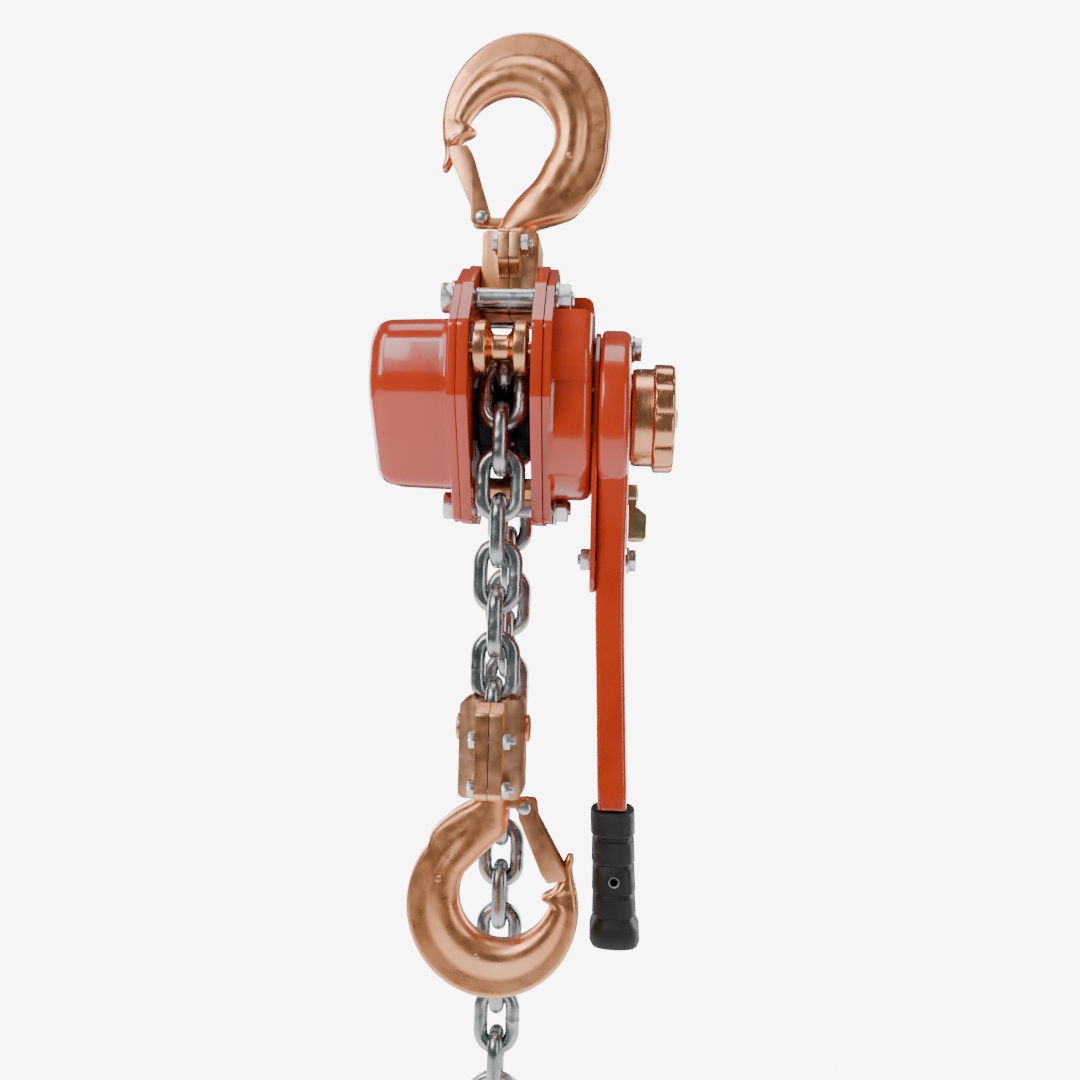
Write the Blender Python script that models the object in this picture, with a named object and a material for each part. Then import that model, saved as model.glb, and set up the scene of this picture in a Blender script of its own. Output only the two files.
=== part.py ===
"""Manual lever chain hoist, 1.5 t class, as separate solids.

World frame in metres: X runs from the gear side to the lever side, Y runs away from the front,
Z points up. The origin is where the top hook's swivel axis meets the inside of its bowl.
Helper functions take millimetres measured from the load sheave's axis.
"""

import math

import bmesh
import bpy
from mathutils import Matrix, Vector

MM = 0.001
SHEAVE_BELOW_ORIGIN = 154.15

# Load chain
WIRE = 7.1
PITCH = 21.0
LINK_WIDTH = 23.0
LINK_GAP = 0.17
CHAIN_ARM = 28.1
CHAIN_TOP = -3.45
TAIL_ARM = 25.0
TAIL_TOP = 3.0
TAIL_LINKS = 16

# Load sheave and gear train
POCKET_RADIUS = 21.2
GROOVE_RADIUS = 13.2
SHAFT_RADIUS = 6.0
MODULE = 1.25
PINION_TEETH = 9
LARGE_TEETH = 24
SMALL_TEETH = 11
LOAD_TEETH = 22
GEAR_CENTRES = 20.625
GEAR_ANGLE = math.radians(20.0)
BACKLASH = 0.32
PAWL_SPOT = 29.0

# Housing
PLATE_INNER = 14.0
PLATE_OUTER = 19.0
SUSPENSION_Z = 57.0
STAY_SPOTS = {"front": (-25.0, 51.0), "rear": (25.0, 51.0), "bottom": (0.0, -44.3)}
GUIDE_Y = 40.0
GUIDE_Z = 26.0

# Hooks. Each form is the outline oval's centre and half axes, the shank's offset from the bowl
# centre, and how far the bowl is turned in its own plane.
BOWL = 20.0
TOP_NECK = (((-2.6, -37.0), (28.4, -40.0)), ((3.2, -29.4), (33.6, -35.8)), ((11.4, -21.0), (36.8, -32.2)))
LOW_NECK = (((-1.5, -36.5), (22.2, -39.4)), ((-0.6, -28.6), (28.5, -34.0)), ((7.6, -20.4), (33.4, -28.4)))
TOP_FORM = (6.2, 4.6, 41.2, 45.4, 1.4, 0.0, TOP_NECK, 3.6)
LOW_FORM = (5.0, 4.4, 39.8, 42.0, 6.2, math.radians(6), LOW_NECK, 0.0)
HOOK_HALF = 8.0
HOOK_STEPS = 14
TOP_BOWL_Z = 134.2
LOW_BOWL_Z = -223.0
LATCH_SPOT = (-13.8, -40.2)
TOP_YOKE = (46.5, 86.0)
LOW_YOKE = (-176.6, -132.5)
LOAD_PIN_Z = -146.2

# Lever and hand wheel
LEVER_X = 44.3
GRIP_TOP = -174.0
GRIP_END = -251.0

LOOKS = {
    "red": ((0.50, 0.045, 0.012, 1), 0.30, 0.0),
    "dark_red": ((0.16, 0.016, 0.010, 1), 0.35, 0.0),
    "copper": ((0.62, 0.30, 0.17, 1), 0.38, 1.0),
    "zinc": ((0.58, 0.58, 0.56, 1), 0.32, 1.0),
    "steel": ((0.30, 0.30, 0.31, 1), 0.42, 1.0),
    "black": ((0.025, 0.025, 0.027, 1), 0.45, 0.3),
    "yellow_zinc": ((0.62, 0.42, 0.16, 1), 0.35, 1.0),
    "rubber": ((0.018, 0.018, 0.019, 1), 0.62, 0.0),
    "lining": ((0.22, 0.16, 0.11, 1), 0.85, 0.0),
    "bronze": ((0.48, 0.33, 0.15, 1), 0.40, 1.0),
}


def clear_scene():
    for obj in list(bpy.data.objects):
        bpy.data.objects.remove(obj, do_unlink=True)


def material(look):
    found = bpy.data.materials.get(look)
    if found:
        return found
    colour, roughness, metallic = LOOKS[look]
    made = bpy.data.materials.new(look)
    made.use_nodes = True
    shader = made.node_tree.nodes["Principled BSDF"]
    shader.inputs["Base Color"].default_value = colour
    shader.inputs["Roughness"].default_value = roughness
    shader.inputs["Metallic"].default_value = metallic
    made.diffuse_color = colour
    return made


def solid(points, faces, name="shape"):
    """An object from points in millimetres and faces, with its normals facing out."""
    mesh = bpy.data.meshes.new(name)
    scaled = [(x * MM, y * MM, (z - SHEAVE_BELOW_ORIGIN) * MM) for x, y, z in points]
    mesh.from_pydata(scaled, [], faces)
    work = bmesh.new()
    work.from_mesh(mesh)
    bmesh.ops.recalc_face_normals(work, faces=work.faces)
    work.to_mesh(mesh)
    work.free()
    obj = bpy.data.objects.new(name, mesh)
    bpy.context.scene.collection.objects.link(obj)
    return obj


def combine(base, others, operation, solver="EXACT"):
    """Applies one Boolean for each of the other shapes, then removes them."""
    for other in others:
        change = base.modifiers.new(operation, "BOOLEAN")
        change.operation = operation
        change.solver = solver
        change.object = other
        graph = bpy.context.evaluated_depsgraph_get()
        mesh = bpy.data.meshes.new_from_object(base.evaluated_get(graph))
        base.modifiers.clear()
        base.data = mesh
        bpy.data.objects.remove(other, do_unlink=True)
    return base


def cut(base, *others):
    return combine(base, others, "DIFFERENCE")


def join(base, *others):
    return combine(base, others, "UNION")


def finish(obj, name, look, origin):
    """Names a shape, gives it its material and moves its origin to a point in millimetres."""
    obj.name = name
    obj.data.name = name
    obj.data.materials.clear()
    obj.data.materials.append(material(look))
    spot = Vector((origin[0] * MM, origin[1] * MM, (origin[2] - SHEAVE_BELOW_ORIGIN) * MM))
    for vertex in obj.data.vertices:
        vertex.co -= spot
    obj.location = spot
    obj.data.shade_smooth()
    obj.data.set_sharp_from_angle(angle=math.radians(32))
    return obj


def along(axis, a, u, v):
    """A point at distance a along an axis, with the two other coordinates in XYZ order."""
    return {"X": (a, u, v), "Y": (u, a, v), "Z": (u, v, a)}[axis]


def lathe(axis, centre, profile, steps=22, phase=0.0):
    """Turns a profile of (distance, radius) pairs. It closes on the axis or on itself."""
    points = []
    rings = []
    for a, r in profile:
        if r == 0:
            rings.append([len(points)])
            points.append(along(axis, a, *centre))
            continue
        ring = []
        for k in range(steps):
            angle = phase + 2 * math.pi * k / steps
            ring.append(len(points))
            u = centre[0] + r * math.cos(angle)
            v = centre[1] + r * math.sin(angle)
            points.append(along(axis, a, u, v))
        rings.append(ring)
    pairs = list(zip(rings, rings[1:]))
    if profile[0][1] > 0:
        pairs.append((rings[-1], rings[0]))
    faces = []
    for low, high in pairs:
        for k in range(steps):
            corners = [low[k % len(low)], low[(k + 1) % len(low)]]
            corners += [high[(k + 1) % len(high)], high[k % len(high)]]
            unique = list(dict.fromkeys(corners))
            if len(unique) > 2:
                faces.append(unique)
    return solid(points, faces)


def rod(axis, centre, low, high, radius, steps=20, bevel=0.0):
    profile = [(low, 0), (low, radius - bevel)]
    if bevel:
        profile += [(low + bevel, radius), (high - bevel, radius)]
        profile += [(high, radius - bevel), (high, 0)]
    else:
        profile += [(high, radius), (high, 0)]
    return lathe(axis, centre, profile, steps)


def ring(axis, centre, low, high, inner, outer, steps=24):
    return lathe(axis, centre, [(low, inner), (low, outer), (high, outer), (high, inner)], steps)


def prism(axis, outline, low, high):
    """An outline pushed along an axis. The outline is in the two other coordinates."""
    count = len(outline)
    points = [along(axis, a, u, v) for a in (low, high) for u, v in outline]
    faces = [list(range(count)), list(range(count, 2 * count))]
    for k in range(count):
        after = (k + 1) % count
        faces.append([k, after, count + after, count + k])
    return solid(points, faces)


def block(x, y, z):
    outline = [(y[0], z[0]), (y[1], z[0]), (y[1], z[1]), (y[0], z[1])]
    return prism("X", outline, x[0], x[1])


def rounded(corners, steps=2):
    """An outline from (u, v, radius) corners, each rounded by its own radius."""
    outline = []
    count = len(corners)
    for k, (u, v, radius) in enumerate(corners):
        here = Vector((u, v))
        before = Vector(corners[k - 1][:2]) - here
        after = Vector(corners[(k + 1) % count][:2]) - here
        if radius == 0:
            outline.append((u, v))
            continue
        half = before.angle(after) / 2
        reach = radius / math.tan(half)
        first = here + before.normalized() * reach
        last = here + after.normalized() * reach
        middle = here + (before.normalized() + after.normalized()).normalized() * (
            radius / math.sin(half)
        )
        start = first - middle
        sweep = start.angle_signed(last - middle)
        for step in range(steps + 1):
            turn = -sweep * step / steps
            c, s = math.cos(turn), math.sin(turn)
            outline.append((middle.x + start.x * c - start.y * s, middle.y + start.x * s + start.y * c))
    return outline


def gear_outline(teeth, phase, module=MODULE, thin=BACKLASH):
    """Involute-like tooth outline. One tooth is centred on the phase angle."""
    pitch = module * teeth / 2
    tip = pitch + module * 0.86
    root = pitch - module * 1.12
    half = math.pi / (2 * teeth) - thin / (2 * pitch)
    outline = []
    for k in range(teeth):
        middle = phase + 2 * math.pi * k / teeth
        flank = [(root, half * 1.5), (tip, half * 0.45)]
        for r, wide in flank:
            outline.append((r * math.cos(middle - wide), r * math.sin(middle - wide)))
        for r, wide in reversed(flank):
            outline.append((r * math.cos(middle + wide), r * math.sin(middle + wide)))
    return outline


def shifted(outline, u, v):
    return [(a + u, b + v) for a, b in outline]


def skin(rings):
    """Joins rings of equal length into a closed skin with flat ends."""
    size = len(rings[0])
    points = [point for one in rings for point in one]
    faces = [list(range(size)), list(range(len(points) - size, len(points)))]
    for k in range(len(rings) - 1):
        for j in range(size):
            after = (j + 1) % size
            low, high = k * size, (k + 1) * size
            faces.append([low + j, low + after, high + after, high + j])
    return solid(points, faces)


# ---------------------------------------------------------------- chain


def link(centre, pull, face, sides=6, bend=4):
    """One link: pull is the unit vector along the chain, face the unit vector across the link."""
    centre, pull, face = Vector(centre), Vector(pull).normalized(), Vector(face).normalized()
    cross = pull.cross(face)
    bow = (LINK_WIDTH - WIRE) / 2
    reach = (PITCH + WIRE) / 2 - bow
    spine = []
    for end in (1, -1):
        for k in range(bend + 1):
            angle = math.pi * (k / bend - 0.5)
            out = Vector((math.cos(angle), math.sin(angle)))
            spine.append((end * (reach + bow * out.x), end * bow * out.y, end * out.x, end * out.y))
    points = []
    for a, b, da, db in spine:
        base = centre + pull * a + face * b
        normal = pull * da + face * db
        for k in range(sides):
            angle = 2 * math.pi * k / sides
            offset = normal * math.cos(angle) + cross * math.sin(angle)
            points.append(tuple(base + offset * (WIRE / 2 - LINK_GAP)))
    count = len(spine)
    faces = []
    for k in range(count):
        for j in range(sides):
            a, b = k * sides + j, k * sides + (j + 1) % sides
            c, d = ((k + 1) % count) * sides + (j + 1) % sides, ((k + 1) % count) * sides + j
            faces.append([a, b, c, d])
    return solid(points, faces)


def pad(spot):
    """A small core that makes two touching links one body."""
    x, y, z = spot
    return block((x - 1.3, x + 1.3), (y - 1.3, y + 1.3), (z - 1.3, z + 1.3))


def strand(name, y, top, first_face, first, count, origin):
    """Hanging links numbered from the sheave, joined into one body."""
    pieces = []
    for k in range(first, first + count):
        z = top - PITCH * (k + 0.5)
        face_on = (k % 2 == 0) == first_face
        across = (1, 0, 0) if face_on else (0, 1, 0)
        if k > first:
            pieces.append(pad((0, y, top - PITCH * k)))
        pieces.append(link((0, y, z), (0, 0, 1), across))
    return finish(join(pieces[0], *pieces[1:]), name, "steel", origin)


def chain_wrap():
    """The four links that lie over the sheave: flat, upright, flat, upright."""
    radius = PITCH / (2 * math.tan(math.pi / 8))
    corner = PITCH / (2 * math.sin(math.pi / 8))
    pieces = []
    for k in range(4):
        angle = math.radians(15 + 45 * k)
        spot = (0, -radius * math.cos(angle), radius * math.sin(angle))
        pull = (0, math.sin(angle), math.cos(angle))
        across = (1, 0, 0) if k % 2 == 0 else spot
        if k:
            turn = math.radians(15 + 45 * k - 22.5)
            pieces.append(pad((0, -corner * math.cos(turn), corner * math.sin(turn))))
        pieces.append(link(spot, pull, across))
    finish(join(pieces[0], *pieces[1:]), "chain_wrap", "steel", (0, 0, 0))


def chain():
    chain_wrap()
    low = CHAIN_TOP
    strand("front_chain_upper", -CHAIN_ARM, low, False, 0, 3, (0, -CHAIN_ARM, low))
    strand("front_chain_middle", -CHAIN_ARM, low, False, 3, 2, (0, -CHAIN_ARM, low - 3 * PITCH))
    strand("front_chain_lower", -CHAIN_ARM, low, False, 5, 2, (0, -CHAIN_ARM, low - 5 * PITCH))
    high = TAIL_TOP
    half = TAIL_LINKS // 2
    strand("tail_chain_upper", TAIL_ARM, high, True, 0, half, (0, TAIL_ARM, high))
    strand("tail_chain_lower", TAIL_ARM, high, True, half, half, (0, TAIL_ARM, high - half * PITCH))
    base = high - TAIL_LINKS * PITCH
    hoop = []
    for k in range(16):
        angle = 2 * math.pi * k / 16
        centre = Vector((0, TAIL_ARM, base - 10.1))
        out = Vector((math.cos(angle), 0, math.sin(angle)))
        hoop.append([tuple(centre + out * (13.2 + 2.6 * math.cos(2 * math.pi * (j + 0.5) / 8))
                           + Vector((0, 2.6 * math.sin(2 * math.pi * (j + 0.5) / 8), 0))) for j in range(8)])
    points = [p for one in hoop for p in one]
    faces = [[k * 8 + j, k * 8 + (j + 1) % 8, (k + 1) % 16 * 8 + (j + 1) % 8, (k + 1) % 16 * 8 + j]
             for k in range(16) for j in range(8)]
    finish(solid(points, faces), "chain_end_ring", "zinc", (0, TAIL_ARM, base))


# ---------------------------------------------------------------- hooks and yokes


def reach(out, form):
    """Distance from the bowl centre to the outline oval in one direction."""
    u, v, wide, tall = form[:4]
    a = (out.x / wide) ** 2 + (out.y / tall) ** 2
    b = out.x * u / wide**2 + out.y * v / tall**2
    c = (u / wide) ** 2 + (v / tall) ** 2 - 1
    return (b + math.sqrt(b * b - a * c)) / a


def hook_rings(bowl_z, way, y, neck_end, form):
    """Rings of the forged hook from its neck round to its tip. Way is 1 for up, -1 for down."""
    o, turn, neck, fuller = form[4:]
    pairs = [((o - 8.4, -neck_end), (o + 8.4, -neck_end), 8.4), ((o - 7.8, 2 - neck_end), (o + 9.6, 1.6 - neck_end), 8.4)]
    pairs += [(*sides, half) for sides, half in zip(neck, (8.4, 8.2, 8.0))]
    spin = Matrix.Rotation(turn, 2)
    for k in range(HOOK_STEPS + 1):
        degrees = -38 + 236 * k / HOOK_STEPS
        angle = math.radians(degrees)
        out = Vector((math.cos(angle), math.sin(angle)))
        fade = max(0.0, (k - HOOK_STEPS + 5) / 5)
        near = BOWL + 4.5 * fade**2
        far = reach(out, form) - 0.5 * fade**2 + fuller * min(1.0, max(0.0, (-4 - degrees) / 26))
        last = k - HOOK_STEPS + 5
        half = HOOK_HALF if last < 1 else (HOOK_HALF - 1.5 * last if last < 3 else 3.0)
        pairs.append((tuple(spin @ (out * near)), tuple(spin @ (out * far)), half))
    rings = []
    for inner, outer, half in pairs:
        inner, outer = Vector(inner), Vector(outer)
        middle, span = (inner + outer) / 2, (outer - inner) / 2
        points = []
        for j in range(10):
            angle = 2 * math.pi * (j + 0.5) / 10
            c, s = math.cos(angle), math.sin(angle)
            c = math.copysign(abs(c) ** 0.8, c)
            s = math.copysign(abs(s) ** 0.8, s) * (1 - 0.28 * max(0, c))
            spot = middle + span * c
            points.append((way * (spot.x - o), y + half * s, bowl_z + way * spot.y))
        rings.append(points)
    return rings


def turned(outline, way, bowl_z, form):
    """An outline drawn round the upper hook's bowl centre, placed for either hook."""
    spin = Matrix.Rotation(form[5], 2)
    spots = [spin @ Vector(spot) for spot in outline]
    return [(way * (spot.x - form[4]), bowl_z + way * spot.y) for spot in spots]


def hook(name, bowl_z, way, y, yoke_face, form, origin):
    neck_end = abs(bowl_z - yoke_face) - 1.5
    body = skin(hook_rings(bowl_z, way, y, neck_end, form))
    x, z = LATCH_SPOT
    lug = rounded([(x - 4, z - 4, 3), (x - 4, z + 4, 3), (x + 2.4, z + 4, 1.6), (x + 4.8, z + 0.6, 0.6),
                   (4, z + 0.6, 0), (4, z - 4, 0)])
    body = join(body, prism("Y", turned(lug, way, bowl_z, form), y - 3.2, y + 3.2))
    nose = rounded([(-33.6, -17.4, 1.6), (-34.4, -14.5, 1.5), (-33.0, -7, 2), (-33.2, 3, 0), (-27, 3, 0), (-27, -6, 1),
                    (-28.4, -11.5, 2), (-31, -17.4, 1.4)])
    rest = rounded([(-26, -2.6, 0), (-26, 8, 0), (-18.6, 5.2, 2), (-16.9, 1.6, 1.6), (-19.2, -1.4, 1.6)])
    body = join(body, prism("Y", turned(nose, way, bowl_z, form), y - 3.2, y + 3.2))
    body = join(body, prism("Y", turned(rest, way, bowl_z, form), y - 3.5, y + 3.5))
    start = bowl_z - way * (neck_end - 1)
    head = [yoke_face - way * 10, yoke_face - way * 15.6]
    stem = lathe("Z", (0, y), [(start, 0), (start, 8.0), (head[0], 8.0), (head[0] - way * 1.5, 11.0),
                               (head[1], 11.0), (head[1], 0)], 20)
    body = join(body, stem)
    px, pz = turned([LATCH_SPOT], way, bowl_z, form)[0]
    body = cut(body, rod("Y", (px, pz), y - 6, y + 6, 1.9, 12))
    finish(body, name, "copper", origin)


def latch(prefix, bowl_z, way, y, form):
    """The sheet latch, its pin and its spring."""
    x, z = LATCH_SPOT
    web = rounded([(x - 5.4, z - 2.6, 2.4), (x + 3.4, z - 3.2, 3), (x + 3.2, z + 4.5, 2),
                   (-18.9, -9.5, 2), (-21.5, -5.4, 1.5), (-30.6, -6.0, 1.5), (-29.4, -12, 2)])
    body = prism("Y", turned(web, way, bowl_z, form), y - 5.3, y + 5.3)
    hollow = [(x - 9, z - 6), (x + 6.5, z - 6), (x + 6.5, z + 4.6), (x + 1.4, z + 5.6), (-20.9, -9.3),
              (-22.2, 0), (-36, 0), (-36, -12)]
    body = cut(body, prism("Y", turned(hollow, way, bowl_z, form), y - 3.7, y + 3.7))
    px, pz = turned([LATCH_SPOT], way, bowl_z, form)[0]
    body = cut(body, rod("Y", (px, pz), y - 8, y + 8, 1.9, 12))
    finish(body, prefix + "_latch", "copper", (px, y, pz))
    half = [(7.0, 0), (7.0, 2.8), (5.8, 2.8), (5.8, 1.55)]
    profile = [(y - a, r) for a, r in half] + [(y + a, r) for a, r in reversed(half)]
    pin = lathe("Y", (px, pz), profile, 12)
    finish(pin, prefix + "_latch_pin", "zinc", (px, y, pz))


def top_yoke():
    low, high = TOP_YOKE
    outline = rounded([(-13, low, 4), (-14, 64, 4), (-21, 70, 4), (-21, high, 4), (21, high, 4), (21, 70, 4),
                       (14, 64, 4), (13, low, 4)])
    for side, name in ((-1, "top_yoke_left"), (1, "top_yoke_right")):
        half = prism("X", outline, *sorted((side * 0.2, side * 13.4)))
        head = high - 17
        bore = lathe("Z", (0, 0), [(head - 1.0, 0), (head - 1.0, 11.5), (high - 9.6, 11.5), (high - 9.6, 8.9),
                                   (high + 2, 8.9), (high + 2, 0)], 24)
        ledge = prism("X", [(-30, 40), (-12.2, 40), (-12.2, 95), (-30, 95)], *sorted((side * 5.2, side * 20)))
        half = cut(half, bore, rod("X", (0, SUSPENSION_Z), -20, 20, 5.3, 20), rod("X", (-16.6, 79), -20, 20, 2.3, 14), ledge)
        finish(half, name, "copper", (0, 0, SUSPENSION_Z))
    finish(bolt(-16.6, 79, -5.5, 5.5, 2.0, 7, 2.8, 3.2), "top_yoke_bolt", "zinc", (0, -16.6, 79))


def bolt(y, z, low, high, radius, flats, head=4.2, nut=4.8):
    """A bolt along X with its hexagon head on the left and its nut on the right, as one body."""
    across = flats / math.sqrt(3)
    left = lathe("X", (y, z), [(low - head, 0), (low - head, across - 1), (low - head + 1, across), (low, across), (low, 0)], 6)
    right = lathe("X", (y, z), [(high, 0), (high, across), (high + nut - 1, across), (high + nut, across - 1), (high + nut, 0)], 6)
    return join(rod("X", (y, z), low - 1, high + nut + 2.5, radius, 14, 0.6), left, right)


def low_yoke():
    y = -CHAIN_ARM
    low, high = LOW_YOKE
    outline = rounded([(y - 20, low, 4), (y - 20, high - 5, 3), (y - 14, high, 3), (y + 13, high, 5),
                       (y + 17, high - 9, 4), (y + 17, low, 4)][::-1])
    for side, name in ((-1, "bottom_yoke_left"), (1, "bottom_yoke_right")):
        half = prism("X", outline, *sorted((side * 0.2, side * 14.3)))
        bore = lathe("Z", (0, y), [(low - 2, 0), (low - 2, 8.9), (low + 9.6, 8.9), (low + 9.6, 11.5),
                                   (low + 16.2, 11.5), (low + 16.2, 0)], 24)
        slot = block((-4.2, 4.2), (y - 14.6, y + 14.6), (LOAD_PIN_Z - 12.2, high + 10))
        mouth = block((-12.1, 12.1), (y - 6.6, y + 6.6), (-137.8, high + 10))
        half = cut(half, bore, slot, mouth, rod("X", (y, LOAD_PIN_Z), -20, 20, 4.7, 20),
                   rod("X", (y - 16.6, LOW_YOKE[1] - 17), -20, 20, 2.3, 12), rod("X", (y - 16.6, low + 5.5), -20, 20, 2.3, 12))
        rib = [(y - 30, low - 5), (y - 12.2, low - 5), (y - 12.2, high + 5), (y - 30, high + 5)]
        finish(cut(half, prism("X", rib, *sorted((side * 6.2, side * 20)))), name, "copper", (0, y, LOAD_PIN_Z))
    for place, z in (("upper", LOW_YOKE[1] - 17), ("lower", low + 5.5)):
        finish(bolt(y - 16.6, z, -6.5, 6.5, 2.0, 7, 2.8, 3.2), "bottom_yoke_bolt_" + place, "zinc", (0, y - 16.6, z))
    half = [(17.0, 0), (17.0, 5.8), (16.4, 6.4), (14.6, 6.4), (14.6, 3.9)]
    profile = [(-a, r) for a, r in half] + [(a, r) for a, r in reversed(half)]
    pin = lathe("X", (y, LOAD_PIN_Z), profile, 20)
    finish(pin, "load_pin", "copper", (0, y, LOAD_PIN_Z))


# ---------------------------------------------------------------- housing


def plate_outline(grow=0.0):
    g = grow
    left = [(-9 - g, 70 + g, 3), (-34 - g, 57 + g, 6), (-50 - g, 36, 7), (-50 - g, 4, 9), (-17 - g, -53 - g, 6)]
    return rounded([(-u, v, r) for u, v, r in reversed(left)] + left)


def housing():
    for side, name in ((-1, "side_plate_gear"), (1, "side_plate_brake")):
        plate = prism("X", plate_outline(), *sorted((side * PLATE_INNER, side * PLATE_OUTER)))
        holes = [rod("X", (y, z), -30, 30, 4.3, 16) for y, z in STAY_SPOTS.values()]
        holes += [rod("X", (0, SUSPENSION_Z), -30, 30, 5.3, 20), rod("X", (0, 0), -30, 30, 17.3, 32)]
        holes += [rod("X", (s * GUIDE_Y, GUIDE_Z), -30, 30, 3.3, 14) for s in (-1, 1)]
        finish(cut(plate, *holes), name, "red", (side * PLATE_INNER, 0, 0))
        race = ring("X", (0, 0), *sorted((side * 14.1, side * 18.9)), 12.9, 17.0, 24)
        finish(race, "sheave_bearing_gear" if side < 0 else "sheave_bearing_brake", "steel", (side * 16.5, 0, 0))
    for place, (y, z) in STAY_SPOTS.items():
        low = -24.6
        high = 24.1
        stay = join(rod("X", (y, z), low - 1, 31.5, 3.9, 16, 0.8), rod("X", (y, z), -13.7, 13.7, 5.2, 20),
                    lathe("X", (y, z), [(low - 5.2, 0), (low - 5.2, 6.3), (low - 4, 7.5), (low, 7.5), (low, 0)], 6))
        finish(stay, "stay_bolt_" + place, "zinc", (0, y, z))
        nut = lathe("X", (y, z), [(high, 4.9), (high, 7.5), (high + 5, 7.5), (high + 6, 6.6), (high + 6, 4.9)], 6)
        finish(nut, "stay_nut_" + place, "zinc", (high, y, z))
    finish(rod("X", (0, SUSPENSION_Z), -18.8, 18.8, 4.9, 24, 0.6), "suspension_pin", "steel", (0, 0, SUSPENSION_Z))
    bar = rounded([(-14, -36, 1.5), (-9, -29.4, 2), (-4, -36.6, 2), (4, -36.6, 2), (9, -29.4, 2), (14, -36, 1.5), (11, -41.5, 2),
                   (6.2, -38.6, 1), (-6.2, -38.6, 1), (-11, -41.5, 2)])
    finish(prism("X", bar, -13.7, 13.7), "chain_stripper", "copper", (0, 0, -36))
    for s, place in ((-1, "front"), (1, "rear")):
        profile = [(-18.6, 0), (-18.6, 2.9), (-11.9, 2.9), (-11.9, 11.4), (-11.0, 12.3), (-8.4, 12.3), (-5.4, 10.4),
                   (-3.6, 6.2), (-2.6, 5.2), (2.6, 5.2), (3.6, 6.2), (5.4, 10.4), (8.4, 12.3), (11.0, 12.3),
                   (11.9, 11.4), (11.9, 2.9), (18.6, 2.9), (18.6, 0)]
        finish(lathe("X", (s * GUIDE_Y, GUIDE_Z), profile, 18), "guide_roller_" + place, "copper", (0, s * GUIDE_Y, GUIDE_Z))


def shield(inset=0.0):
    i = inset
    left = [(-40 + i, 41 - i, 15 - i * 0.5), (-43.5 + i, 8, 20), (-17 + i, -36.2 + i, 9)]
    return rounded([(-u, v, r) for u, v, r in reversed(left)] + left, 4)


def cover_rings(levels):
    """Rings of the shield outline at each (x, inset) level."""
    return [[(x, u, v) for u, v in shield(inset)] for x, inset in levels]


def gear_cover():
    outer = skin(cover_rings([(-23.3, 0), (-51, 0.6), (-56.8, 2.4), (-60.3, 5.6), (-61.5, 9.8)]))
    flange = prism("X", plate_outline(-1.0), -23.3, -19.3)
    inner = skin(cover_rings([(-18, 2.8), (-48, 3.2), (-54, 6.0), (-56.2, 10.5)]))
    body = cut(join(outer, flange), inner)
    holes = [rod("X", (y, z), -30, -10, 4.3, 16) for y, z in STAY_SPOTS.values()]
    pocket = prism("X", rounded([(14.4, 20.4, 2), (-14.4, 20.4, 2), (-14.4, -8.4, 2), (14.4, -8.4, 2)][::-1]), -63, -60.5)
    finish(cut(body, pocket, *holes), "gear_cover", "red", (-19.3, 0, 0))
    plate = prism("X", rounded([(14, 20, 2), (-14, 20, 2), (-14, -8, 2), (14, -8, 2)][::-1]), -61.4, -60.8)
    finish(plate, "nameplate", "black", (-61, 0, 6))


def brake_cover():
    drum = lathe("X", (0, 0), [(22.8, 0), (22.8, 41), (37.5, 41), (40.2, 39.6), (41, 37), (41, 0)], 36)
    crown = prism("X", rounded([(-43, 24, 10), (-28, 54, 9), (28, 54, 9), (43, 24, 10), (30, -16, 8), (-30, -16, 8)][::-1]), 20.6, 40.4)
    flange = prism("X", plate_outline(-1.0), 19.3, 22.9)
    inner = rod("X", (0, 0), 18, 38.6, 37.4, 36)
    loft = prism("X", rounded([(38, 12, 2), (38, 24, 5), (32, 37.5, 4), (-32, 37.5, 4), (-38, 24, 5), (-38, 12, 2)]), 17, 34.5)
    mouth = rod("X", (0, 0), 30, 45, 24.0, 36)
    holes = [rod("X", (y, z), 10, 50, 4.3, 16) for y, z in STAY_SPOTS.values()]
    wells = [rod("X", (y, z), 23.4, 50, 9.2, 20) for y, z in STAY_SPOTS.values()]
    shell = combine(drum, [crown, flange], "UNION", "MANIFOLD")
    shell = combine(shell, [inner, mouth, loft, *holes, *wells], "DIFFERENCE", "MANIFOLD")
    finish(shell, "brake_cover", "red", (19.3, 0, 0))


# ---------------------------------------------------------------- load train


def spoke(angle):
    return GEAR_CENTRES * math.cos(angle), GEAR_CENTRES * math.sin(angle)


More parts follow.
